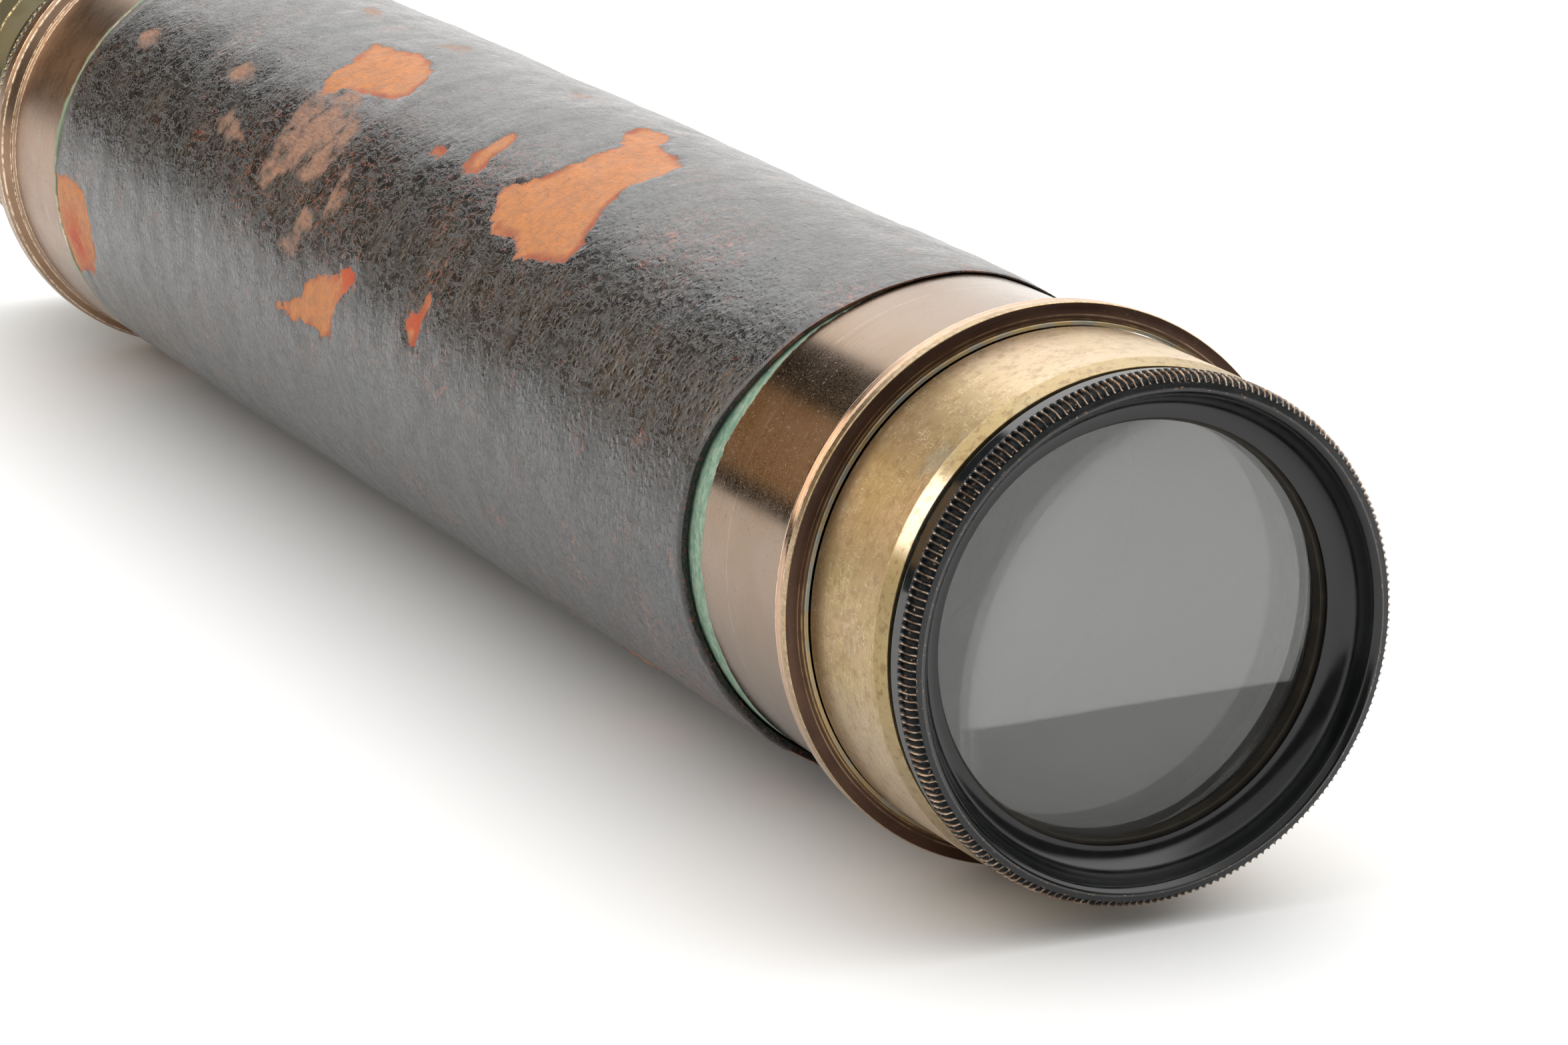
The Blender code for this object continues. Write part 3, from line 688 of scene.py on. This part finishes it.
LEATHER = covering()
CROWN = optical_glass("glass_crown", 1.66, 0.026, 220.0)
FLINT = optical_glass("glass_flint", 1.76, 0.016, 240.0, clearness=0.80)
EYE_GLASS = optical_glass("glass_eyepiece", 1.53, 0.02, 260.0)
BLACK = inside_paint()


# --- objective


def objective():
    """Milled cell, seat ring, the two lenses, the sleeve and the bead ring."""
    first, last, rim = size("objective_cell")
    mouth = [
        (first + 0.7 + 3.35 * math.sin(a), rim - 4.9 + 2.75 * math.cos(a), 0.0, 3)
        for a in (math.radians(90 * k / 12) for k in range(13))
    ]
    outline = at(
        first, rim,
        (0.03, 1.28, 0.05, 0), (0.14, 0.74, 0.20, 0), (0.60, 0.20, 0.35, 0), (1.30, 0, 0.60, 0),
        (2.4, 0, 0.12, 1), (2.42, 0.42, 0.06, 1), (4.55, 0.42, 0.15, 1), (4.6, 1.8, 0, 1),
    )
    outline += at(last, rim, (0, 1.8, 0, 1), (0, 3.8, 0, 3))
    outline += at(first, rim, (4.4, 3.8, 0, 3), (4.4, 4.9, 0, 3))
    outline += reversed(mouth)
    outline += at(first, rim, (0.35, 1.90, 0.15, 3), (0.10, 1.64, 0.10, 3), (0, 1.46, 0.05, 2))
    rows = refined(rounded(outline, steps=2), first, first + 2.45, 0.19, rim - 0.9)
    milling = (first - 0.15, first + 2.25, RIM_TEETH, 0.42)
    lathe("objective_cell", rows, [KNURL, FLANGE, FACE, WALL], RIM_TEETH * 6, milling)

    first, last, width = size("lens_seat_ring")
    ring = at(first, width, (0, 0, 0, 0)) + at(last, width, (0, 0, 0, 0), (0, 1.35, 0.05, 0))
    ring += at(first, width, (0, 1.35, 0.12, 0))
    lathe("lens_seat_ring", rounded(ring), [RING])

    front_sag, middle_sag = 1.0, 2.1
    first, last, width = size("objective_crown_lens")
    front = bowl(first, first + front_sag, width)
    lens("objective_crown_lens", front, bowl(last, last - middle_sag, width), CROWN)

    first, last, width = size("objective_flint_lens")
    lens("objective_flint_lens", bowl(first + middle_sag, first, width), bowl(last, last, width), FLINT)

    first, last, wide = size("objective_sleeve")
    sleeve = at(first, wide, (0, 0.45, 0.1, 0), (1.9, 0, 0.12, 0), (14.8, 0, 0.05, 0), (14.8, 1.1, 0, 0))
    sleeve += at(last, wide, (0, 1.1, 0.1, 0), (0, 1.7, 0.1, 1)) + at(first, wide, (0, 1.7, 0.1, 0))
    lathe("objective_sleeve", rounded(sleeve), [GOLD, BLACK], 320)

    first, last, wide = size("front_bead_ring")
    bore = wide - 2.2
    bead = at(
        first, wide,
        (0, 2.15, 0.04, 0), (0.12, 1.86, 0.06, 0), (0.30, 1.82, 0.05, 0), (0.34, 1.95, 0.03, 1),
        (0.42, 1.80, 0, 1), (0.45, 1.40, 0, 1), (0.50, 1.00, 0, 1), (0.58, 0.60, 0, 1),
        (0.70, 0.22, 0.05, 0), (0.80, 0.13, 0.10, 0), (1.70, 0.20, 0.30, 0), (2.00, 0.38, 0.15, 0),
        (2.35, 0.30, 0.30, 0), (3.20, 0.22, 0.70, 0), (3.75, 0.75, 0.40, 0), (4.00, 1.55, 0.15, 0),
        (4.25, 1.60, 0.10, 0),
    )
    bead += [(last, wide - 1.98, 0.08, 0), (last, bore, 0.0, 0), (first, bore, 0.0, 0)]
    lathe("front_bead_ring", rounded(bead, support=0.04), [BEAD, COVE], 384)


# --- main tube

EDGE_AT = (-115, -100, -80, -66, -59, -52, -44, -36, -25, -14, -5, 5, 15, 22, 60, 120, 180)
EDGE_STATION = (
    46.6, 46.9, 46.9, 46.6, 45.9, 44.7, 44.3, 44.0, 43.5, 43.2, 43.5, 44.4, 45.8, 46.6, 46.4, 45.8, 46.4,
)
THICK_AT = (-120, -70, -52, -35, -25, -10, 20, 60, 120, 180)
THICKNESS = (1.15, 1.1, 0.9, 0.6, 0.45, 0.34, 0.30, 0.45, 0.8, 1.1)
GREEN_AT = (-150, -120, -80, -62, -48, -30, 0, 60, 120, 180)
GREEN_WIDTH = (1.6, 2.7, 2.8, 1.9, 0.8, 0.1, -0.6, 0.0, 0.8, 1.2)


def round_table(angle, places, values):
    """A value that changes with the angle round the axis, from its values at a few places."""
    return np.interp(angle, places, values, period=360)


def cover_edge(angle):
    """Station of the covering's front edge, which was cut a little askew and by eye."""
    smooth = sum(round_table(angle + d, EDGE_AT, EDGE_STATION) for d in (-6, -3, 0, 3, 6)) / 5
    wander = 0.05 * np.sin(np.radians(7 * angle + 40)) + 0.04 * np.sin(np.radians(19 * angle))
    return smooth + wander


def main_tube():
    """The tube, with layers that say where verdigris lies beside the covering."""
    first, last, wide = size("main_tube")
    bore = wide - 0.8
    columns = 320
    covered_from = 46.5
    steps = 24
    bare = [first + 0.4 + k * (covered_from - first) / steps for k in range(steps + 1)]
    shared = (90.0, 140.0, 190.0, 230.0)
    rows = [(first, wide - 0.1, 0.0, 0)]
    rows += [(s, wide, 0.0, 0) for s in (*bare, *shared, last - 0.4)]
    rows += [(last, wide - 0.1, 0.0, 1), (last, bore, 0.0, 1)]
    rows += [(s, bore, 0.0, 1) for s in reversed(shared)]
    rows += [(first, bore, 0.0, 0)]
    tube = lathe("main_tube", rows, [TUBE, BLACK], columns)
    angle = np.repeat(np.arange(columns) / columns * 360, len(rows))
    station = np.tile([row[0] for row in rows], columns)
    add_layer(tube.data, "rim_gap", cover_edge(angle) - station)
    add_layer(tube.data, "green_width", round_table(angle - ROLL, GREEN_AT, GREEN_WIDTH))


def waves(points, length, count, seed):
    """Smooth unit noise at points in millimetres: plane waves of about one length in all directions."""
    draw = np.random.default_rng(seed)
    total = np.zeros(len(points))
    for _ in range(count):
        way = draw.normal(size=3)
        way *= 2 * math.pi / (length * draw.uniform(0.6, 1.6) * np.linalg.norm(way))
        total += np.sin(points @ way + draw.uniform(0, 2 * math.pi))
    return total / math.sqrt(count / 2)


# Places where the covering is worn through, as (station, angle) outlines.
WORN = (
    # the long patch on the upper left, with a neck and a foot
    ((92, 308), (97, 306), (102, 304), (105, 308), (110, 307), (113, 310), (117, 318), (114, 322),
     (112, 328), (111, 336), (111, 345), (116, 352), (118, 356), (116, 360), (112, 359), (108, 352),
     (103, 351), (99, 349), (97, 342), (98, 334), (96, 326), (94, 319), (92, 314)),
    # the bright end of the rear patch
    ((155, 329), (159, 326), (164, 325), (169, 323), (171, 319), (174, 323), (175, 332), (178, 341),
     (176, 343), (171, 343), (168, 346), (164, 344), (160, 341), (157, 336)),
    # the star below the rear patch
    ((135, 282), (139, 274), (140, 270), (140, 265), (142, 264), (147, 266), (151, 265), (156, 266),
     (153, 269), (150, 271), (149, 275), (146, 278), (141, 280), (138, 284)),
    # the hook on the left side
    ((116, 275), (118, 274), (120, 278), (119, 282), (117, 281), (116, 288), (115, 286)),
    # the small upright patches
    ((124, 318), (127, 317), (129, 323), (128, 333), (126, 332), (125, 325)),
    ((134, 317), (137, 317), (137, 320), (134, 321)),
    # beside the rear ferrule
    ((223, 257), (224, 247), (227, 242), (231, 239), (238, 236), (238, 266), (231, 267), (225, 266)),
    # high on the shoulder, seen edge on
    ((128, 386), (138, 389), (150, 397), (146, 400), (134, 396), (127, 390)),
    # low on the left side
    ((70, 204), (80, 206), (84, 211), (78, 216), (70, 213)),
    ((46, 200), (54, 201), (57, 206), (50, 209), (44, 206)),
)
# Places where only the black skin is rubbed away.
RUBBED = (
    ((155, 301), (159, 295), (164, 299), (168, 290), (170, 292), (171, 301), (173, 315), (172, 324),
     (164, 325), (160, 319), (155, 315)),
    ((146, 301), (147, 293), (150, 290), (150, 299), (151, 305)),
    ((151, 288), (154, 279), (159, 280), (156, 285), (155, 291), (153, 291)),
    ((179, 299), (186, 297), (190, 301), (188, 305), (183, 302)),
    ((190, 314), (194, 310), (198, 314), (196, 318), (192, 318)),
    ((220, 311), (224, 308), (227, 312), (224, 316)),
    ((134, 358), (138, 356), (141, 362), (138, 364)),
    ((166, 353), (171, 352), (172, 358), (167, 359)),
    ((189, 351), (196, 353), (201, 359), (195, 358)),
    ((150, 384), (168, 390), (175, 398), (160, 396)),
    ((70, 86), (74, 84), (77, 79), (81, 81), (84, 80), (86, 87), (89, 92), (85, 96), (84, 104), (80, 101),
     (77, 104), (75, 97), (71, 95)),
    ((140, 118), (146, 117), (149, 111), (154, 113), (157, 118), (162, 121), (158, 128), (155, 134),
     (151, 132), (149, 139), (146, 130), (142, 127)),
    ((186, 64), (189, 61), (195, 59), (199, 62), (197, 67), (200, 72), (193, 73), (189, 77), (188, 70)),
    ((98, 161), (104, 156), (111, 159), (118, 153), (122, 160), (126, 166), (121, 171), (116, 169),
     (110, 178), (106, 172), (101, 168)),
)
# Scattered small scuffs: (station, angle, reach).
SCUFFED = (
    (46, 334, 4), (46, 350, 4), (46, 5, 4), (72, 329, 7), (80, 330, 6), (150, 300, 12), (170, 300, 12),
    (60, 210, 14), (120, 318, 9), (78, 90, 14), (58, 240, 5), (45, 242, 4),
)
# Places where the skin is rubbed to a strong orange red: (station, angle, reach).
REDDENED = (
    (117, 278, 4), (137, 282, 4), (231, 249, 4), (80, 330, 3), (76, 330, 3), (70, 329, 3), (67, 327, 2),
    (46, 333, 2.5), (44, 331, 2), (58, 238, 3), (46, 240, 2.5), (75, 246, 4), (58, 208, 10), (90, 218, 7),
)


def spots(places, station, arc, radius):
    """A layer that is 1 in the middle of each (station, angle, reach) place and fades out round it."""
    total = np.zeros(len(station))
    for s, a, reach in places:
        off = (np.degrees(arc / radius) - a - ROLL + 180) % 360 - 180
        far = np.hypot(station - s, np.radians(off) * radius)
        total = np.maximum(total, np.clip(1.3 - far / reach, 0, 1))
    return total


def depth_inside(outlines, station, arc, radius):
    """How far each point lies inside the nearest outline, in millimetres; down to -far outside."""
    far = 12.0
    best = np.full(station.shape, -far)
    for outline in outlines:
        corners = np.array([(s, math.radians(a + ROLL) * radius) for s, a in outline])
        middle = corners[:, 1].mean()
        turn = 2 * math.pi * radius
        place = np.stack([station, (arc - middle + turn / 2) % turn - turn / 2 + middle], -1)
        near = ((place > corners.min(0) - far) & (place < corners.max(0) + far)).all(-1)
        p = place[near]
        distance = np.full(len(p), 1e9)
        inside = np.zeros(len(p), bool)
        for a, b in zip(corners, np.roll(corners, -1, 0)):
            along = b - a
            t = np.clip(((p - a) @ along) / (along @ along), 0, 1)
            distance = np.minimum(distance, np.linalg.norm(p - a - t[:, None] * along, axis=1))
            crosses = (a[1] > p[:, 1]) != (b[1] > p[:, 1])
            rise = b[1] - a[1] if b[1] != a[1] else 1e-9
            inside ^= crosses & (p[:, 0] < a[0] + (p[:, 1] - a[1]) / rise * along[0])
        best[near] = np.maximum(best[near], np.where(inside, distance, -distance))
    return best


def leather_cover():
    """The covering, with a cut front edge, shallow waves and the worn places sunk into it."""
    _, last, wide = size("leather_cover")
    inner = wide - 1.22
    length = 192.1  # of the outline below, before it is stretched to fit between the edge and last
    unstretched = 20.0
    columns = 280
    outline = [(0.35, inner, 1.0), (0.06, inner + 0.12, 1.0), (0.0, inner + 0.45, 1.0)]
    outline += [(0.02, wide - 0.42, 1.0), (0.12, wide - 0.2, 0.8), (0.32, wide - 0.06, 0.3)]
    skin_rows = (*np.arange(0, 96, 0.46), *np.arange(96, 188.5, 0.84))  # closer in front, near the camera
    outline += [(0.7 + s, wide, 0.0) for s in skin_rows]
    outline += [(191.6, wide - 0.05, 0.0), (191.95, wide - 0.25, 0.0), (length, wide - 0.6, 0.0)]
    outline += [(192.0, inner, 0.0)]
    count = len(outline)
    behind, r, cut = (np.repeat(np.array(column)[None], columns, 0) for column in zip(*outline))
    angle = np.arange(columns) / columns * 360
    edge = cover_edge(angle)[:, None]
    stretch = behind * ((last - edge) / length - 1) * (behind - unstretched) / (length - unstretched)
    station = np.minimum(edge + behind + np.where(behind < unstretched, 0.0, stretch), last)
    turn = np.radians(np.repeat(angle[:, None], count, 1))
    skin = r > wide - 0.3
    flat = wound(station, wide, turn)
    arc = (turn * wide).reshape(-1)
    wear, thin = (depth_inside(places, flat[:, 0], arc, wide) for places in (WORN, RUBBED))
    scuff, red = (spots(places, flat[:, 0], arc, wide) for places in (SCUFFED, REDDENED))

    swell = 0.055 * waves(flat, 26, 24, 1) + 0.03 * waves(flat, 9, 30, 2) + 0.016 * waves(flat, 3.2, 40, 3)
    sunk = np.clip((wear + 0.25 + 0.35 * waves(flat, 2.6, 30, 4)) / 0.6, 0, 1)
    rubbed = np.clip((thin + 0.3 * waves(flat, 2.2, 30, 5)) / 1.2, 0, 1)
    seam = np.abs((np.degrees(arc / wide) % 360) - 180) * math.radians(1) * wide
    seam = np.exp(-((seam / 0.35) ** 2))
    headroom = 0.14  # keeps the waves inside the CAD box
    shape = (swell - 0.16 * sunk - 0.06 * rubbed - 0.35 * seam - headroom).reshape(columns, count)
    thickness = round_table(angle, THICK_AT, THICKNESS)[:, None]
    pared = wide - size("main_tube")[2] - headroom - thickness
    pared = pared * np.interp(station - edge, (0, 1.5, 4, 45, 85), (1.0, 0.86, 0.72, 0.5, 0.0))
    foot = wide - 1.32  # the radius towards which the paring fades out
    height = np.clip((r - foot) / (wide - foot), 0, 1)
    radius = r + shape * skin - pared * height * (r > inner + 0.02)

    faces, _ = grid(columns, count)
    layers = [("wear", wear), ("thin", thin), ("scuff", scuff), ("red", red), ("cut", cut.reshape(-1))]
    points = wound(station, radius, turn)
    stand_in("leather_cover", points, faces, [LEATHER], layers=layers)


def rear_ferrule():
    """The end piece behind the covering, with a rolled rim and the hole of the first draw."""
    first, last, wide = size("rear_ferrule")
    bore = 24.95
    outline = at(first, wide, (0, 1.4, 0.25, 0)) + at(
        last, wide,
        (-6.2, 1.4, 0.1, 0), (-5.6, 1.15, 0.15, 0), (-5.0, 1.2, 0.1, 0), (-4.2, 0.3, 0.4, 0),
        (-3.4, 0, 0.3, 0), (-1.6, 0, 0.4, 0), (-0.5, 0.5, 0.3, 0), (0, 1.2, 0.15, 0),
    )
    outline += [(last, DRAW_BORES[0], 0.2, 0), (last - 1.7, DRAW_BORES[0], 0.05, 1)]
    outline += [(last - 1.7, bore, 0.0, 1), (first, bore, 0.0, 0)]
    lathe("rear_ferrule", rounded(outline), [FERRULE, BLACK], 320)


# --- draws and eyepiece


def draw_tube(node):
    """A polished tube, blackened inside and at its front."""
    first, last, wide = size(node)
    wall = 0.7
    outline = at(first, wide, (0, 0, 0.1, 1), (1.0, 0, 0, 0))
    outline += at(last, wide, (0, 0, 0.1, 1), (0, wall, 0, 1)) + at(first, wide, (0, wall, 0, 1))
    lathe(node, rounded(outline), [DRAW, BLACK])


def collar(node, bore, next_bore, teeth):
    """A milled end ring that overlaps the end of its tube by all but a thin lip."""
    first, last, wide = size(node)
    outline = at(
        first, wide,
        (0, 0.75, 0.15, 0), (0.9, 0.15, 0.15, 0), (1.5, 0.35, 0.1, 0), (2.0, 0, 0.2, 0),
        (4.2, 0, 0.2, 0), (4.7, 0.5, 0.15, 0),
    )
    outline += [
        (last - 0.6, wide - 0.6, 0.25, 0), (last, wide - 1.2, 0.2, 0), (last, next_bore, 0.1, 0),
        (last - 0.8, next_bore, 0.0, 0), (last - 0.8, bore, 0.0, 0), (first, bore, 0.0, 0),
    ]
    rows = refined(rounded(outline), first + 1.9, first + 4.4, 0.16, wide - 0.2)
    lathe(node, rows, [COLLAR], teeth * 8, (first + 1.95, first + 4.25, teeth, 0.22))


def cut_away(piece, points, faces, material):
    """Cut a solid out of the piece."""
    tool = mesh_object("tool", points, faces, [material])
    modifier = piece.modifiers.new("cut", "BOOLEAN")
    modifier.operation = "DIFFERENCE"
    modifier.solver = "EXACT"
    modifier.object = tool
    evaluated = piece.evaluated_get(bpy.context.evaluated_depsgraph_get())
    made = bpy.data.meshes.new_from_object(evaluated)
    piece.modifiers.clear()
    piece.data = made
    bpy.data.objects.remove(tool)


def eye_cap():
    """The flared eye cap with the sunk face in which the shutter swings."""
    first, last, rim = size("eye_cap")
    floor_at = last - 2.0
    face = 15.6
    hole = 4.0
    inside = 15.9
    bore = DRAW_BORES[2]
    outline = at(
        first, rim,
        (0, 2.1, 0.15, 0), (0.5, 1.4, 0.25, 0), (2.0, 1.4, 0.15, 0), (2.3, 1.75, 0.12, 0),
        (2.6, 1.4, 0.15, 0), (4.5, 1.45, 0.3, 0), (5.3, 3.15, 0.6, 0), (7.4, 3.2, 1.2, 0),
        (11.4, 1.6, 0.8, 0), (13.3, 0.15, 0.4, 0), (14.0, 0, 0.3, 0),
    )
    outline += [
        (last - 0.7, rim, 0.4, 0), (last, rim - 0.8, 0.3, 0), (last, face + 0.3, 0.25, 0),
        (last - 0.5, face, 0.1, 0), (floor_at, face, 0.12, 0), (floor_at, hole + 0.35, 0.15, 0),
        (floor_at - 0.35, hole, 0.1, 0), (first + 10.7, hole, 0.1, 1), (first + 10.7, inside, 0.0, 1),
        (first + 7.3, inside, 0.0, 1), (first + 7.3, bore, 0.0, 1), (first, bore, 0.0, 0),
    ]
    cap = lathe("eye_cap", rounded(outline), [COLLAR, BLACK])
    drill = [(floor_at - 2.85, 0.0), (floor_at - 2.85, 1.1), (floor_at + 0.3, 1.1), (floor_at + 0.3, 0.0)]
    cut_away(cap, *spun(drill, pivot_lift()), BLACK)


def pivot_lift():
    """Height of the shutter's pivot above the optical axis."""
    low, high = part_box("shutter_pivot_screw")
    return ((low.z + high.z) / 2 - AXIS_Z) / MM


def pivot_screw():
    """A domed screw with a slot."""
    first, last, head = size("shutter_pivot_screw")
    under = last - 0.6
    lift = pivot_lift()
    rows = [(first, 0.0), (first, 0.8), (first + 0.2, 1.0), (under, 1.0), (under, head), (last - 0.35, head)]
    rows += [(last - 0.2, head - 0.12), (last - 0.06, 0.62 * head), (last, 0.25 * head), (last, 0.0)]
    screw = stand_in("shutter_pivot_screw", *spun(rows, lift, 96), [COLLAR])
    slot = 0.17  # half its width
    corners = [(s, y, lift + z) for s in (last - 0.32, last + 0.4) for y in (-slot, slot) for z in (-3, 3)]
    sides = [(0, 1, 3, 2), (4, 6, 7, 5), (0, 4, 5, 1), (2, 3, 7, 6), (0, 2, 6, 4), (1, 5, 7, 3)]
    cut_away(screw, np.array(corners, float), sides, COLLAR)


def eye_shutter():
    """The swinging plate: a disc over the eye hole joined to a tail round the pivot, with a stud."""
    _, last, _ = size("eye_shutter")
    plate_end = last - 0.8
    start = plate_end - 0.95
    lift = pivot_lift()
    arm = 9.5  # from the pivot down to the middle of the disc
    tail_radius, disc_radius, hole_radius = 2.9, 5.6, 1.15
    stud_at = arm + 4.2
    count = 160
    turn = np.arange(count) / count * 2 * math.pi
    way = np.stack([np.sin(turn), np.cos(turn)], -1)
    reach = np.zeros(count)
    for share in np.linspace(0, 1, 120):
        radius = tail_radius + (disc_radius - tail_radius) * share
        middle = np.array((0.0, -arm * share))
        along = way @ middle
        root = along**2 - middle @ middle + radius**2
        hit = np.where(root > 0, along + np.sqrt(np.maximum(root, 0)), 0)
        reach = np.maximum(reach, hit)
    rows = [(start, -0.12, 1), (start + 0.1, 0.0, 1), (plate_end - 0.3, 0.0, 1), (plate_end - 0.08, -0.1, 1)]
    rows += [(plate_end, -0.32, 1), (plate_end, 0.25, 0), (plate_end - 0.12, 0.0, 0), (start, 0.0, 0)]
    points = []
    for s, inset, on_outline in rows:
        far = reach + inset if on_outline else np.full(count, hole_radius + inset)
        points.append(wound(np.full(count, s), far, turn) + np.array((0, 0, lift)))
    points = np.concatenate(points)
    faces, _ = grid(len(rows), count)
    stud = [(plate_end + 0.004, 0.0), (plate_end + 0.004, 1.05), (plate_end + 0.15, 0.9), (last - 0.3, 0.9)]
    stud += [(last - 0.08, 0.72), (last, 0.35), (last, 0.0)]
    stud_points, stud_faces = spun(stud, lift - stud_at)
    faces += [tuple(index + len(points) for index in face) for face in stud_faces]
    stand_in("eye_shutter", np.concatenate([points, stud_points]), faces, [DRAW])


def eye_lens():
    first, last, width = size("eye_lens")
    lens("eye_lens", bowl(first, first, width), bowl(last, first + 1.6, width), EYE_GLASS, 96)


objective()
main_tube()
leather_cover()
rear_ferrule()
for tube in ("draw_1_tube", "draw_2_tube", "draw_3_tube"):
    draw_tube(tube)
collar("draw_1_collar", DRAW_BORES[0], DRAW_BORES[1], 150)
collar("draw_2_collar", DRAW_BORES[1], DRAW_BORES[2], 142)
eye_cap()
pivot_screw()
eye_shutter()
eye_lens()

KEPT = {"blackened": BLACK, "dark_bronze": RING, "glass": EYE_GLASS, "draw_brass": DRAW}
replaced = {name[: -len("_look")] for name in bpy.data.objects.keys() if name.endswith("_look")}
for node, kept in frame["nodes"].items():
    if node not in replaced:
        kept.data.materials.clear()
        kept.data.materials.append(BLACK if node.endswith("_stop_ring") else KEPT[SLOT_OF[node]])


# --- stage


def floor():
    mesh = bpy.data.meshes.new("floor")
    half = 6.0
    corners = [(-half, -half, 0), (half, -half, 0), (half, half, 0), (-half, half, 0)]
    mesh.from_pydata(corners, [], [(0, 1, 2, 3)])
    made = bpy.data.objects.new("floor", mesh)
    bpy.context.scene.collection.objects.link(made)
    look = Look("paper_white", Specular_IOR_Level=0.2)
    tone = look.mix(look.noise(0.02), (0.785, 0.785, 0.78), (0.815, 0.815, 0.81))
    mesh.materials.append(look.finish(tone, 0.6))


def studio():
    """White light from above, with a dark canopy and a dark room in front and a dark gap on the far left.

    The gap holds a softbox with a warm edge. around is 0 towards +Y, 90 overhead and 180 towards -Y.
    """
    world = bpy.data.worlds.new("studio")
    bpy.context.scene.world = world
    world.use_nodes = True
    sky_graph = Graph(world.node_tree)
    mix = sky_graph.mix
    x, y, z = sky_graph.parts(sky_graph.value("TexCoord", {}, "Generated"))
    around = sky_graph.math("ARCTAN2", z, y) * (180 / math.pi)
    dark = (0.022, 0.018, 0.012)
    above = mix(y.step(-0.6, 0.5), (2.25, 2.25, 2.25), (2.7, 2.7, 2.7))
    bright = mix(z.step(0.25, 0.8), (1.55, 1.53, 1.50), above)
    canopy = x.step(-0.05, 0.25) * y.drop(0.0, 0.4) * z.step(0.45, 0.6)
    bright = mix(canopy * 0.7, bright, (0.2, 0.2, 0.2))
    room = x.step(0.1, 0.35) * z.drop(0.40, 0.62)
    bright = mix(room, bright, (0.10, 0.095, 0.085))
    gap = around.step(94.0, 100.0) * (1.0 - z.step(0.54, 0.66)) * x.drop(-0.55, -0.25)
    sky = mix(gap, bright, dark)
    softbox = around.band(128.0, 168.0, 3.0) * x.drop(-0.2, 0.1) * gap
    warm = mix(x.step(-0.878, -0.860), dark, (0.95, 0.54, 0.19))
    sky = mix(softbox, sky, mix(x.step(-0.86, -0.78), warm, (2.4, 2.15, 1.85)))
    sky = mix(z.drop(-0.02, 0.0), sky, (0.9, 0.9, 0.9))
    seen = sky_graph.value("LightPath", {}, "Is Camera Ray")
    sky_graph.feed(mix(seen, sky, (0.95, 0.95, 0.95)), world.node_tree.nodes["Background"].inputs["Color"])
    bpy.context.scene.view_settings.view_transform = "Standard"


def camera():
    """The photo's camera, which stands in front and to the left and looks a little down."""
    data = bpy.data.cameras.new("camera")
    data.lens = 128.8
    data.sensor_width = 36.0
    data.clip_start = 0.01
    made = bpy.data.objects.new("camera", data)
    bpy.context.scene.collection.objects.link(made)
    back = Vector((0.8720, -0.4123, 0.2639)).normalized()
    up = back.cross(Vector((0.4274, 0.9040, 0.0))).normalized()
    turn = Matrix((up.cross(back), up, back)).transposed().to_4x4()
    made.matrix_world = Matrix.Translation((0.56813, -0.23723, 0.17112)) @ turn
    bpy.context.scene.camera = made


floor()
studio()
camera()
